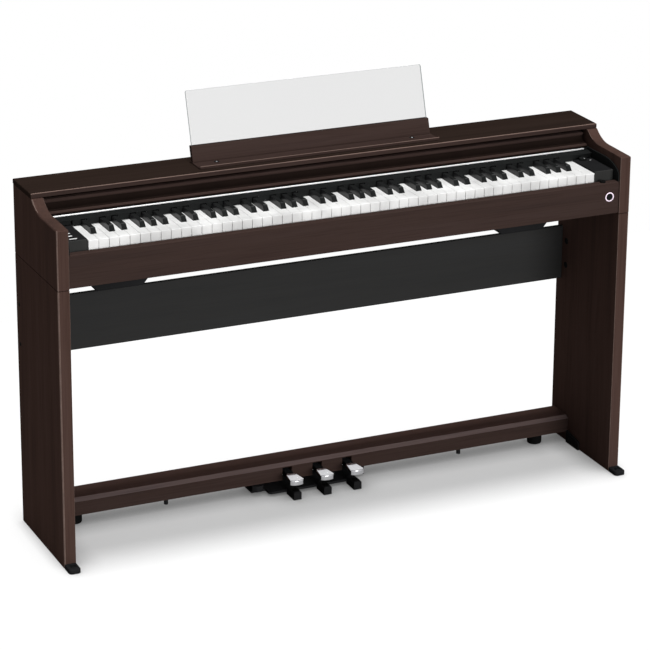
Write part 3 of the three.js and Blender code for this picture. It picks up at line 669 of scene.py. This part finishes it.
def add_pedal_bar():
    low, high = span("crossbar")
    chamfer, slot_top, slot_half = 8, 58, 12
    piece = from_side("pedal_bar", [
        (low.y, low.z), (high.y, low.z), (high.y, high.z), (low.y + chamfer, high.z),
        (low.y, high.z - chamfer)], low, high)
    ease(piece, 0.5, 2, 20)
    # The chamfer gets the paler tone: a painted highlight.
    chamfer_highlight = BAR_CHAMFER_HIGHLIGHT, lambda way, _: way.z > 0.5 and way.y < -0.5
    # The front faces get the darker tone: painted shade.
    faced(piece, BAR, chamfer_highlight, (BAR_FRONT_SHADE, faces_front))
    pocket = box("cutter", -118, 118, low.y + 22, high.y - 8, low.z - 1, slot_top)
    slots = [box("cutter", x - slot_half, x + slot_half, low.y - 1, low.y + 23, low.z - 1, slot_top)
             for _, x in PEDALS]
    carve(piece, pocket, *slots)
    settle(piece, BAR, "crossbar", smooth=30)
    for side, sign, node, (x0, y0, _), (x1, y1, top) in pairs("crossbar_foot"):
        foot = turned(f"levelling_foot_{side}", UP, ((x0 + x1) / 2, (y0 + y1) / 2, 0), [
            (0, 0.6), (11, 0.6), (12, 0), (14, 0), (16, 0.9), (17.2, 2.6), (17.6, 5),
            (17.6, top), (0, top)], 40)
        settle(foot, RUBBER, node)
        pin = rod(f"bar_pin_{side}", UP, (sign * 373, 210, 0), 5, 13.5, low.z + 0.4)
        settle(pin, BLACK)


def add_corner_brackets():
    """Thin ribbed plates on the side panels in front of the bar."""
    for side, sign, node, low, high in pairs("corner_bracket"):
        inner = low.x if sign > 0 else high.x
        plate = from_side(f"corner_plate_{side}", [
            (low.y, 0), (high.y, 0), (high.y, high.z), (low.y + 3, 22), (low.y, 19)], low, high)
        grooves = (156, 161, 166, 171)
        carve(plate, *[box("cutter", inner - 1.5, inner + 1.5, y, y + 2, 3, 17) for y in grooves])
        ease(plate, 0.5, 2, 30)
        settle(plate, BLACK, node)
        head = screw(f"corner_screw_{side}", ACROSS, (inner, 185, 13), 3.2, -sign)
        settle(head, GLOSS_BLACK)


# ---------- pedals ----------
PEDAL_TOP = 50
LEVER_BOTTOM = PEDAL_TOP - 11.4
HINGE_Y, HINGE_Z = 250, 44
HOUSING_FLOOR = 11.5  # where its walls and ears begin, inside its plate
SPRING_Y, SPRING_BOTTOM, SPRING_LENGTH, SPRING_TURNS = 232, 12, 22.8, 6


def pedal_plan(x, stem, back, pad, tip, nose, length, end):
    """A pedal from above: a straight stem, then a pad that widens to a round nose."""
    shoulder = tip + length
    return [(x - stem, end), (x - stem, shoulder), (x - back, shoulder - 1),
            *arc((x, tip + nose), (pad, nose), 180, 360, 16),
            (x + back, shoulder - 1), (x + stem, shoulder), (x + stem, end)]


def add_pedals():
    """Three chrome shells, each over a dark lever with a hub on the shaft."""
    low, high = span("pedal_middle")
    top, tip, half = PEDAL_TOP, low.y, high.x
    for name, x in PEDALS:
        body = f"pedal_{name}"
        plan = pedal_plan(x, 10, 12.5, half, tip, 9, 45, tip + 46)
        shell = outlined(f"pedal_pad_{name}", UP, plan, top - 12, 12)
        round_edges(shell, 2.6, 4, lambda edge: on_top(top)(edge) and middle(edge).y < tip + 44)
        plan = pedal_plan(x, 8, 10.5, half - 2, tip + 2.2, 8, 42, tip + 60)
        hollow = outlined("cutter", UP, plan, top - 30, 27.6)
        open_sides = box("cutter", x - 30, x + 30, tip + 13, tip + 60, top - 14, top - 5.5)
        carve(shell, hollow, open_sides)
        ease(shell, 0.4, 2, 45)
        settle(shell, CHROME, body=body)
        plan = pedal_plan(x, 9, 10, half - 2.6, tip + 2.8, 8, 42, high.y - 6)
        core = outlined(f"pedal_lever_{name}", UP, plan, LEVER_BOTTOM, 8.4)
        ease(core, 0.6)
        stem = box("stem", x - 9, x + 9, tip + 46.4, high.y - 4, LEVER_BOTTOM, top)
        round_edges(stem, 1.6, 2, on_top(top))
        hub = rod("hub", ACROSS, (x, HINGE_Y, HINGE_Z), 7.5, -9, 9, 0.6, 28)
        settle(join(core, stem, hub), BLACK, body, body)


def add_pedal_base():
    """The pedal housing: a stepped plate, a lug, end walls and ears for the shaft."""
    low, high = span("pedal_base")
    bar_front, top = span("crossbar")[0].y, span("crossbar")[0].z - 0.3
    front, hidden = bar_front - 22, bar_front + 3
    left, right = -PEDAL_STEP - 54, PEDAL_STEP + 12
    plate = outlined("pedal_housing", UP, [
        (low.x, hidden), (left, hidden), (left, front + 6), (left + 6, front), (right, front),
        (right, hidden), (high.x, hidden), (high.x, high.y), (low.x, high.y)], 6, 6)
    ease(plate, 1.0)
    lug_back = 262
    lug = outlined("housing_lug", UP, [
        (low.x, lug_back), (low.x, hidden - 6), (low.x + 8, hidden - 14), (left - 14, hidden - 14),
        (left - 8, hidden - 8), (left - 8, lug_back)], 12.1, top - 12.1)
    carve(lug, box("cutter", low.x + 5, left - 13, hidden + 4, lug_back - 6, 11, top - 4))
    ease(lug, 0.8)
    walls = [board("wall", x, x + 4, hidden, high.y, HOUSING_FLOOR, top, 0.6) for x in (low.x, high.x - 4)]
    ears = []
    for number in (-1.5, -0.5, 0.5, 1.5):
        x = number * PEDAL_STEP * 0.96
        ear = outlined("ear", ACROSS, [
            (243, HOUSING_FLOOR), (high.y, HOUSING_FLOOR), (high.y, 48), (high.y - 4, 54), (247, 54),
            (243, 50)], x - 4, 8)
        ears.append(ease(ear, 0.6))
    settle(join(plate, lug, *walls, *ears), BLACK, "pedal_base")


def add_pedal_stops():
    """A stop block with a rubber pad and a return spring for each pedal."""
    for name, x in PEDALS:
        stop = outlined(f"pedal_stop_{name}", DEEP, [
            (x - 10, 0), (x + 10, 0), (x + 10, 17.5), (x + 7.5, 20), (x - 7.5, 20),
            (x - 10, 17.5)], 138, 44)
        ease(stop, 1.2)
        settle(stop, BLACK)
        pad = board(f"stop_pad_{name}", x - 7, x + 7, 142, 158, 19.5, 21.5, 0.8)
        settle(pad, RUBBER)
        steps = 12 * SPRING_TURNS
        coil = arc((x, SPRING_Y), (5, 5), 0, 360 * SPRING_TURNS, steps)
        points = [(*spot, SPRING_BOTTOM + SPRING_LENGTH * step / steps) for step, spot in enumerate(coil)]
        settle(wire(f"return_spring_{name}", points, 0.7), GLOSS_BLACK)


# ---------- cabinet ----------
SLOT_PLAY = 0.6


def add_rail():
    low, high = span("front_rail")
    piece = block("rail_board", low, high)

    def front_edge(edge):
        return runs(edge, ACROSS) and middle(edge).y < low.y + 1

    round_edges(piece, 3, 4, lambda edge: front_edge(edge) and middle(edge).z > high.z - 1)
    round_edges(piece, 1.5, 2, lambda edge: front_edge(edge) and middle(edge).z < low.z + 1)
    ease(piece, 0.5, 1, 40)
    ring_low, ring_high = span("power_ring")
    centre = (ring_low + ring_high) / 2
    radius = (ring_high.x - ring_low.x) / 2 + 0.3
    carve(piece, rod("cutter", DEEP, (centre.x, low.y, centre.z), radius, -5, 30, 0.1, 48))
    settle(piece, BROWN, "front_rail")

    ring = turned("light_ring", DEEP, (centre.x, ring_low.y, centre.z), [
        (8.3, 6), (8.3, 0.6), (8.7, 0.1), (9.6, 0), (10.6, 0.1), (11, 0.6), (11, 6)], 48)
    settle(ring, RING, "power_ring")
    button_front = span("power_button")[0].y
    button = turned("power_cap", DEEP, (centre.x, button_front, centre.z), [
        (0, 0.9), (3.5, 0.75), (6, 0.3), (7.2, 0.05), (7.8, 0.3), (8.0, 0.9), (8.0, 14), (0, 14)], 48)
    settle(button, GLOSS_BLACK, "power_button", "power_button")


def add_bumper():
    low, high = span("rail_bumper")
    centre = (low + high) / 2
    bumper = turned("rail_stop", UP, (centre.x, centre.y, low.z), [
        (0, 0), (6.6, 0), (7, 0.4), (6.9, 1.6), (6.1, 3.2), (4.6, 4.3), (2.6, 4.9), (0, 5)], 32)
    settle(bumper, RUBBER, "rail_bumper")


def tongues(bottom, top, play=0):
    """The music rest's two tongues or, with some play, cutters for their slots."""
    half, front, back = 20 + play, 233 - play, 237 + play
    return [box("tongue", x - half, x + half, front, back, bottom, top) for x in (-200, 200)]


def add_lid():
    low, high = span("top_lid")
    piece = block("lid_board", low, high)
    round_edges(piece, 2.4, 4, on_top(high.z))
    ease(piece, 0.8, 2, 40)
    carve(piece, *tongues(low.z - 1, high.z + 1, SLOT_PLAY))
    # The top is given a darker tone than the brown front face, and the rounded front edge a paler one:
    # painted shade on the top, a painted highlight on the edge.
    faced(piece, DARK, (EDGE_HIGHLIGHT, rounded_front), (BROWN, faces_front))
    settle(piece, DARK, "top_lid")


def add_ledge():
    """The raised ledge that the music rest stands on, with a lip in front and two screws."""
    low, high = span("rest_ledge")
    lip, plate = low.y + 5, low.z + 2.7
    ledge = from_side("sheet_ledge", [
        (low.y, low.z), (high.y, low.z), (high.y, plate), (lip, plate), (lip, high.z),
        (low.y, high.z)], low, high)
    ease(ledge, 0.9)
    carve(ledge, *tongues(low.z - 1, high.z + 9, SLOT_PLAY))
    # The rounded front edge gets the paler tone: a painted highlight.
    faced(ledge, BROWN, (EDGE_HIGHLIGHT, rounded_front))
    settle(ledge, BROWN, "rest_ledge")
    for side, sign in SIDES:
        x, y = sign * 240, 218
        well = turned(f"ledge_well_{side}", UP, (x, y, plate), [
            (2.6, -0.6), (2.6, 0.1), (4.6, 0.35), (6.4, 0.1), (6.4, -0.6)], 28)
        settle(well, GLOSS_BLACK)
        head = screw(f"ledge_screw_{side}", UP, (x, y, plate - 0.2), 2, 1)
        settle(head, STEEL)


def add_key_cover():
    """The sliding cover: a beaded lip, a hollow painted darker for its shade, a rolled brown front edge, a
    flat tail.
    """
    low, high = span("key_cover")
    front, bottom = low.y, low.z
    lip = [(front, bottom), (front, bottom + 3.4), (front + 0.7, bottom + 4.3), (front + 2.2, bottom + 4.3),
           (front + 2.4, bottom + 5.6), (front + 3.2, bottom + 6.4), (front + 4.6, bottom + 6.4)]
    hollow_y, hollow_z = front + 5, bottom + 7
    nose_y, nose_z = hollow_y + 20, hollow_z + 14.4
    hollow = arc((hollow_y, hollow_z + 14), (20, 14), -90, 0, 20)
    rolled = arc((nose_y, nose_z + 4.2), (4, 4.2), -90, -270, 20)[1:]
    back, tail_top = front + 33, bottom + 6
    tail = [(back - 1, high.z), (back, high.z), (back, tail_top), (high.y, tail_top), (high.y, bottom)]
    piece = from_side("sliding_cover", lip + hollow + rolled + tail, low, high)
    ease(piece, 0.3, 1, 50)

    # The hollow under the lid and the lowest part of the lip's front get the darker brown: painted shade.
    def in_shaded_hollow(_, spot):
        in_hollow = spot.y < nose_y + 1 and bottom + 6.9 < spot.z < nose_z - 0.5
        return in_hollow or (spot.y < front + 2 and spot.z < bottom + 3)

    faced(piece, BROWN, (HOLLOW_SHADE, in_shaded_hollow))
    settle(piece, BROWN, "key_cover", "key_cover", 30)


def add_cover_bed():
    """The thin black bed under the stored cover, from the fascia back to the rear cover."""
    front, back = span("fascia_strip")[1].y, span("rear_cover")[0].y
    top = span("key_cover")[0].z - 1
    bed = board("cover_bed", -KEYS_EDGE, KEYS_EDGE, front, back, top - 3, top, 0.4)
    settle(bed, BLACK_BOARD)


def key_comb(front, under):
    """The tabs that reach down between the black keys to just above the white ones."""
    clear = BLACK_WIDTH / 2 + 0.8
    blacks = [black_centre(white) for white in range(WHITES) if has_black(white)]
    starts = [0.5 - KEYS_EDGE] + [centre + clear for centre in blacks]
    ends = [centre - clear for centre in blacks] + [KEYS_EDGE - 0.5]
    return [box("tab", x0, x1, front + 0.4, front + 3, KEY_TOP + 1.3, under + 0.4)
            for x0, x1 in zip(starts, ends)]


def add_fascia():
    """The black fascia: a terraced shelf over the keys' backs that comes down onto the end blocks."""
    low, high = span("fascia_strip")
    face = span("trim_strip")[1].y + 0.3
    under = BLACK_TOP + 2
    terraces = [(low.y + step * (face - low.y) / 3, under + 1 + step * 0.9) for step in range(3)]
    (y0, z0), (y1, z1), (y2, z2) = terraces
    piece = from_side("key_fascia", [
        (low.y, under), (high.y, under), (high.y, high.z), (face, high.z),
        (face, z2), (y2, z2), (y2, z1), (y1, z1), (y1, z0), (y0, z0)], low, high)
    ease(piece, 0.25, 1)
    ends = []
    for side, sign in SIDES:
        x0, x1 = sorted((sign * (KEYS_EDGE + 1), high.x * sign))
        end = outlined(f"fascia_end_{side}", ACROSS, [
            (low.y + 4, low.z), (high.y, low.z), (high.y, under + 0.5), (low.y + 12, under + 0.5),
            (low.y + 8, under - 1)], x0, x1 - x0)
        ends.append(ease(end, 0.5))
    piece = join(piece, *ends, *key_comb(low.y, under))
    settle(piece, GLOSS_BLACK, "fascia_strip")


def add_trim():
    """The silver strip on the fascia and the felt under it."""
    low, high = span("trim_strip")
    strip = box("silver_strip", low.x, high.x, low.y, high.y, low.z + 1, high.z)
    round_edges(strip, 0.5, 3, lambda edge: sharp(edge) and middle(edge).y < low.y + 0.5)
    settle(strip, SILVER, "trim_strip")
    felt = board("key_felt", -KEYS_EDGE, KEYS_EDGE, 150, 160, 747.7, 748.7, 0.3)
    settle(felt, FELT)


# ---------- end blocks ----------
MARKS = (  # name, x, y, length and half width of each printed dash
    ("left_1", -639, 78, 10, 2.4),
    ("left_2", -642, 60, 13, 2.4),
    ("left_3", -640, 40, 17, 2.4),
    ("right_1", 648, 112, 5, 0.7))


def add_end_block(side, sign):
    node = f"end_block_{side}"
    low, high = span(node)
    piece = block(f"end_cheek_block_{side}", low, high)
    round_edges(piece, 1.8, 3, on_top(high.z))
    ease(piece, 0.6, 1, 40)
    wall = 3
    carve(piece, box("cutter", low.x + wall, high.x - wall, low.y + wall, high.y - wall,
                     low.z - 1, high.z - wall))
    if sign > 0:
        knob_low, knob_high = span("volume_knob")
        x, y, _ = (knob_low + knob_high) / 2
        carve(piece, rod("cutter", UP, (x, y, 0), 3.4, high.z - 9, high.z + 3, 0.1))
    # The front faces get the paler black: painted light.
    faced(piece, BLACK, (BLACK_FRONT_LIGHT, lambda way, _: way.y < -0.6))
    settle(piece, BLACK, node)


def add_cover_guide(side):
    """The curved guide on the inside of a cheek, down to the front rail's top."""
    node = f"cover_guide_{side}"
    low, high = span(node)
    tip, nose, reach, rail_top = 4, 728, 72, span("front_rail")[1].z + 0.4
    curve = arc((tip + reach, nose), (reach, high.z - nose), 90, 180, 24)
    guide = from_side(f"cover_track_{side}", [
        (low.y, low.z), (high.y, low.z), (high.y, high.z), *curve,
        (tip, rail_top), (low.y, rail_top)], low, high)
    ease(guide, 0.6, 2, 40)
    settle(guide, GLOSS_BLACK, node)


def add_end_blocks():
    for side, sign in SIDES:
        add_end_block(side, sign)
        add_cover_guide(side)
    top = span("end_block_left")[1].z
    for name, x, y, length, half in MARKS:
        mark = board(f"block_mark_{name}", x - length / 2, x + length / 2, y - half, y + half,
                     top - 0.2, top + 0.12, 0.1, 1)
        settle(mark, PRINT)
    low, high = span("volume_knob")
    x, y, _ = (low + high) / 2
    knob = turned("knob_cap", UP, (x, y, 0), [
        (0, low.z), (3, low.z), (3, top + 0.3), (8.6, top + 0.3), (9, top + 0.8), (9, top + 4.6),
        (8.4, top + 5.6), (7, top + 6.2), (4, top + 6.0), (0, top + 5.6)], 48)
    settle(knob, GLOSS_BLACK, "volume_knob", "volume_knob")
    # A silver pointer gives the bright dot of the knob's highlight: a painted highlight.
    pointer = board("knob_pointer", x - 0.7, x + 0.7, y - 8.2, y - 3.5, top + 5.2, top + 6.32, 0.3)
    settle(pointer, SILVER, body="volume_knob")


# ---------- back ----------
VENT_GROUP, VENT_STEP, VENT_HALF = 470, 14, 2.5
VENT_HEIGHTS = (742, 778)
REAR_SCREW_STEP, SOCKET_STEP = 215, 40


def add_rear():
    """The rear cover with two groups of blind vents and two rows of screws."""
    low, high = span("rear_cover")
    piece = ease(block("rear_board", low, high), 0.8)
    vents = [sign * VENT_GROUP + number * VENT_STEP for sign in (-1, 1) for number in range(-4, 5)]
    carve(piece, *[box("cutter", x - VENT_HALF, x + VENT_HALF, low.y + 1.2, high.y + 3, *VENT_HEIGHTS)
                   for x in vents])
    settle(piece, BLACK_BOARD, "rear_cover")
    for number in range(7):
        x = (number - 3) * REAR_SCREW_STEP
        for row, z in enumerate((low.z + 9, high.z - 9), 1):
            head = screw(f"rear_screw_{row}_{number + 1}", DEEP, (x, high.y, z), 3.8, 1)
            settle(head, STEEL)


def add_sockets():
    """The socket plate: five round recesses with collars."""
    low, high = span("jack_plate")
    plate = block("socket_plate", low, high)
    round_edges(plate, 5, 5, lambda edge: runs(edge, DEEP))
    round_edges(plate, 0.8, 2, lambda edge: sharp(edge) and middle(edge).y > high.y - 0.5)
    seats = [(number * SOCKET_STEP, high.y, (low.z + high.z) / 2) for number in range(-2, 3)]
    for seat in seats:
        carve(plate, rod("cutter", DEEP, seat, 5, -1.5, 3, 0.1, 32))
    settle(plate, BLACK, "jack_plate")
    for number, seat in enumerate(seats, 1):
        collar = turned(f"socket_collar_{number}", DEEP, seat, [
            (3.1, -1.4), (3.1, 0.2), (3.5, 0.5), (4.4, 0.5), (4.9, 0.1), (4.9, -1.4)], 32)
        settle(collar, STEEL)


# ---------- speakers ----------
GRILLE_RADIUS, GRILLE_STEP, GRILLE_HALF = 32, 5, 1.5
DRIVER_PROFILE = (
    (0, 7), (7, 6), (9, 9), (24, 3.5), (28, 1), (32, 3), (35, 0.5), (42, 0.5), (42, 4), (36, 7),
    (22, 23), (22, 38), (0, 38))


def tapered(name, x, bottom, top, low, high):
    """A block that widens from one half width at the bottom to another at the top."""
    return outlined(name, DEEP, [
        (x - bottom, low.z), (x + bottom, low.z), (x + top, high.z), (x - top, high.z)],
        low.y, high.y - low.y)


def add_speakers():
    """Two enclosures with slanted ends and a round slotted grille below, each with its driver."""
    for side, _, node, low, high in pairs("speaker_box"):
        x, y = (low.x + high.x) / 2, (low.y + high.y) / 2
        top, bottom, wall = (high.x - low.x) / 2, 54, 6
        piece = tapered(f"speaker_case_{side}", x, bottom, top, low, high)
        round_edges(piece, 5, 4, lambda edge: sharp(edge) and middle(edge).z < high.z - 2)
        inner_low, inner_high = low + Vector((0, wall, wall)), high + Vector((0, -wall, 1))
        carve(piece, tapered("cutter", x, bottom - wall, top - wall, inner_low, inner_high))
        slots = []
        for number in range(-6, 7):
            half = math.sqrt(GRILLE_RADIUS ** 2 - (number * GRILLE_STEP) ** 2)
            slot_y = y + number * GRILLE_STEP
            slots.append(box("cutter", x - half, x + half, slot_y - GRILLE_HALF, slot_y + GRILLE_HALF,
                             low.z - 2, low.z + 8))
        carve(piece, *slots)
        settle(piece, BLACK, node)
        node = f"speaker_driver_{side}"
        driver = turned(f"speaker_unit_{side}", UP, (x, y, span(node)[0].z), DRIVER_PROFILE, 40)
        settle(driver, RUBBER, node)


# ---------- music rest ----------
LEAN = math.radians(17)


def lean_back(piece, foot):
    """Stands a piece modelled at the origin on its foot, leaning back."""
    take(piece)
    piece.rotation_euler = (-LEAN, 0, 0)
    piece.location = foot
    bpy.ops.object.transform_apply()
    return piece


def add_music_rest():
    """A leaning base with two tongues below it, and a clear sheet in its groove."""
    low, high = span("music_rest_base")
    thick, height, groove_depth = 12, 34, 12
    half, length, sheet_thick, corner, play = 289, 135, 4, 4, 0.3
    front, seat = low.y, high.z - height
    backset = math.tan(LEAN) * height
    base = from_side("rest_base", [
        (front, seat), (front + thick, seat), (front + thick + backset, high.z),
        (front + backset, high.z)], low, high)
    ease(base, 0.8, 2, 40)
    rise = height - groove_depth
    foot = Vector((0, front + thick / 2 + math.tan(LEAN) * rise, seat + rise))
    half_y = sheet_thick / 2 + play
    groove = box("cutter", -half - play, half + play, -half_y, half_y, -play, 24)
    carve(base, lean_back(groove, foot))
    join(base, *[ease(tongue, 0.6) for tongue in tongues(seat - 9, seat + 2)])
    settle(base, BROWN, "music_rest_base", "music_rest")

    inset, corner_z = half - corner, length - corner
    sheet = outlined("rest_sheet", DEEP, [
        (-half, 0), (half, 0),
        *arc((inset, corner_z), (corner, corner), 0, 90, 6),
        *arc((-inset, corner_z), (corner, corner), 90, 180, 6)], -sheet_thick / 2, sheet_thick)
    ease(sheet, 0.4, 2, 40)
    # The edge faces get the darker tint: painted shade.
    faced(sheet, CLEAR, (CLEAR_EDGE_SHADE, lambda way, _: abs(way.y) <= 0.99))
    lean_back(sheet, foot)
    settle(sheet, CLEAR, "music_rest_panel", "music_rest")


# ---------- keys ----------
LIP = 3  # how thick the white keys' top plate is
PLATE_UNDER = KEY_TOP - LIP + 0.1  # the sides reach a little into the plate
BLACK_LEAN = 0.84  # a black key's top width over its foot width


def has_black(white):
    return 0 <= white < WHITES - 1 and white % 7 in BLACK_SHIFT


def boundary(white):
    """Where a white key ends on its right."""
    return (white + 1) * PITCH - KEYS_EDGE


def black_centre(white):
    return boundary(white) + BLACK_SHIFT[white % 7]


def key_body(white, sharp_key):
    kind = "black" if sharp_key else "white"
    if white < OCTAVE_START:
        return f"{kind}_keys_low"
    if white > OCTAVE_START + 6:
        return f"{kind}_keys_high"
    note = NOTE_NAMES[white - OCTAVE_START]
    return f"key_{note}_sharp4" if sharp_key else f"key_{note}4"


def white_key(name, white):
    """A white key: wide head with a thin overhanging lip, a tail notched for its black neighbours."""
    left, right = boundary(white - 1) + GAP / 2, boundary(white) - GAP / 2
    notch = BLACK_WIDTH / 2 + GAP
    tail_left = black_centre(white - 1) + notch if has_black(white - 1) else left
    tail_right = black_centre(white) - notch if has_black(white) else right
    head = KEY_FRONT + HEAD
    plan = [(left, KEY_FRONT), (right, KEY_FRONT)]
    if tail_right < right:
        plan += [(right, head), (tail_right, head)]
    plan += [(tail_right, KEY_BACK), (tail_left, KEY_BACK)]
    if tail_left > left:
        plan += [(tail_left, head), (left, head)]
    plate = outlined(name, UP, plan, KEY_TOP - LIP, LIP)
    round_edges(plate, 0.9, 3, on_top(KEY_TOP))
    body = box("body", left + 0.15, right - 0.15, KEY_FRONT + 0.9, head - 0.3, KEY_BOTTOM, PLATE_UNDER)
    round_edges(body, 0.6, 2, lambda edge: runs(edge, UP) and middle(edge).y < KEY_FRONT + 2)
    tail = box("tail", tail_left + 0.25, tail_right - 0.25, head - 0.4, KEY_BACK, KEY_BOTTOM, PLATE_UNDER)
    return join(plate, body, tail)


def black_key(name):
    """A black key in the middle: sides that lean in, a sloped front, softened edges."""
    front, back = KEY_FRONT + HEAD + GAP, span("black_keys_low")[1].y
    foot = KEY_TOP - 7
    piece = outlined(name, ACROSS, [
        (front, foot), (back, foot), (back, BLACK_TOP), (front + 8, BLACK_TOP),
        (front + 1.2, KEY_TOP + 2.5), (front, KEY_TOP)], -BLACK_WIDTH / 2, BLACK_WIDTH)
    for vertex in piece.data.vertices:
        if vertex.co.z > KEY_TOP + 5:
            vertex.co.x *= BLACK_LEAN
    round_edges(piece, 1.3, 3, lambda edge: sharp(edge, 10) and middle(edge).z > KEY_TOP + 1)
    # The sides get a paler black as painted sheen, and the bevel over the front a paler one still as a
    # painted glint.
    return faced(piece, EBONY, (EBONY_SIDE_SHEEN, lambda way, _: abs(way.x) > 0.8),
                 (EBONY_EDGE_GLINT, lambda way, _: -0.7 < way.y < -0.15 and way.z > 0.7))


def add_keys():
    """The 88 keys: those of one shape are copies of one mould."""
    moulds = {}
    for white in range(WHITES):
        shape = (white % 7, has_black(white - 1), has_black(white))
        if shape not in moulds:
            moulds[shape] = white, white_key(f"mould_{white}", white)
        first, mould = moulds[shape]
        piece = copied(mould, f"white_key_{white + 1:02d}", (white - first) * PITCH)
        body = key_body(white, False)
        settle(piece, IVORY, body, body)
    black_mould = black_key("mould_black")
    blacks = [white for white in range(WHITES) if has_black(white)]
    for number, white in enumerate(blacks, 1):
        piece = copied(black_mould, f"black_key_{number:02d}", black_centre(white))
        body = key_body(white, True)
        settle(piece, EBONY, body, body)
    for _, mould in moulds.values():
        bpy.data.objects.remove(mould)
    bpy.data.objects.remove(black_mould)


# ---------- hidden works ----------
HIDDEN = (("key_chassis", STEEL), ("keybed", BLACK_BOARD), ("main_board", CIRCUIT), ("pedal_shaft", STEEL))


def finish_hidden_nodes():
    for node, finish in HIDDEN:
        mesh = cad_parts[node].data
        mesh.materials.clear()
        mesh.materials.append(finish)


# ---------- studio ----------
FLOOR_SIZE, FLOOR_MIDDLE = 9, -3.1  # metres
SHADE_REACH = 0.07  # how far the shade spreads round what stands on the floor
SHADE_OUTSIDE, SHADE_INSIDE = 0.72, 0.67  # it fades between these distances from the middle
SHADE_DEPTH = 0.78
GLOW, GLOW_LOSS = 0.82, 0.45  # the floor's own light, and how much less it is between the panels
LAMPS = (  # name, direction, power, softness in degrees
    ("Overhead", (0, 0, -1), 2.4, 14),
    ("Front", (-0.15, 1, -0.2), 2.1, 30),
    ("Back", (-0.35, -1, -0.15), 1.2, 20))
LAMP_DISTANCE = 6
WORLD_LIGHT, WORLD_WHITE = 0.2, 1.0


def ray(finish, *kinds):
    """1 for a ray of one of these kinds, 0 for others."""
    seen, *others = (finish.wire("LightPath", {}, f"Is {kind} Ray") for kind in kinds)
    for other in others:
        seen = seen.math("MAXIMUM", seen, other)
    return seen


def add_floor():
    """A white floor that keeps the piano's shade, most of it between the side panels: a contact shade from
    ambient occlusion is painted in, and outside the panels the lamps' shade is mostly painted out.
    """
    floor = primitive("plane", "studio_floor", size=FLOOR_SIZE, location=(0, FLOOR_MIDDLE, 0))
    bpy.ops.object.transform_apply()
    finish = new_finish("studio_floor_white")
    seen = ray(finish, "Camera", "Glossy")
    open_air = finish.wire("AmbientOcclusion", {"Distance": SHADE_REACH}, "AO", samples=8)
    spot = finish.wire("SeparateXYZ", {"Vector": finish.coords()})
    between = finish.wire("MapRange", {
        "Value": spot.math("ABSOLUTE", spot), "From Min": SHADE_OUTSIDE, "From Max": SHADE_INSIDE})
    # Painted contact shade from ambient occlusion, and the lamps' shade painted mostly out beyond the side
    # panels.
    contact = 1 - (1 - open_air) * between * SHADE_DEPTH
    under = finish.mix(between, grey(0.2), grey(0.632))
    colour = finish.mix(contact, grey(0), finish.mix(seen, grey(0.38), under))
    shader = finish.principled(base_color=colour, roughness=0.9, specular_ior_level=0.0)
    strength = seen * contact * (GLOW - between * GLOW_LOSS)
    glow = finish.wire("Emission", {"Color": grey(1), "Strength": strength})
    floor.data.materials.append(finish.show(finish.wire("AddShader", {0: shader, 1: glow})))


def add_world():
    """White to the camera and in reflections, a softer even light on the piano."""
    world = bpy.data.worlds.new("Studio")
    bpy.context.scene.world = world
    finish = Finish(world, "World")
    light, white = (finish.wire("Background", {"Color": grey(1), "Strength": strength})
                    for strength in (WORLD_LIGHT, WORLD_WHITE))
    seen = ray(finish, "Camera", "Glossy", "Transmission")
    finish.show(finish.wire("MixShader", {0: seen, 1: light, 2: white}))


def add_lamps():
    """Suns that shine along a direction; softness is how wide each looks."""
    for name, direction, power, softness in LAMPS:
        data = bpy.data.lights.new(name, "SUN")
        data.energy = power
        data.angle = math.radians(softness)
        lamp = bpy.data.objects.new(name, data)
        bpy.context.scene.collection.objects.link(lamp)
        lamp.location = Vector(direction).normalized() * -LAMP_DISTANCE
        lamp.rotation_euler = Vector(direction).to_track_quat("-Z", "Y").to_euler()


add_sides()
add_front_feet()
add_modesty_board()
add_pedal_bar()
add_corner_brackets()
add_pedals()
add_pedal_base()
add_pedal_stops()
add_rail()
add_bumper()
add_lid()
add_ledge()
add_key_cover()
add_cover_bed()
add_fascia()
add_trim()
add_end_blocks()
add_rear()
add_sockets()
add_speakers()
add_music_rest()
add_keys()
finish_hidden_nodes()
add_floor()
add_world()
add_lamps()
bpy.context.scene.view_settings.view_transform = "Standard"
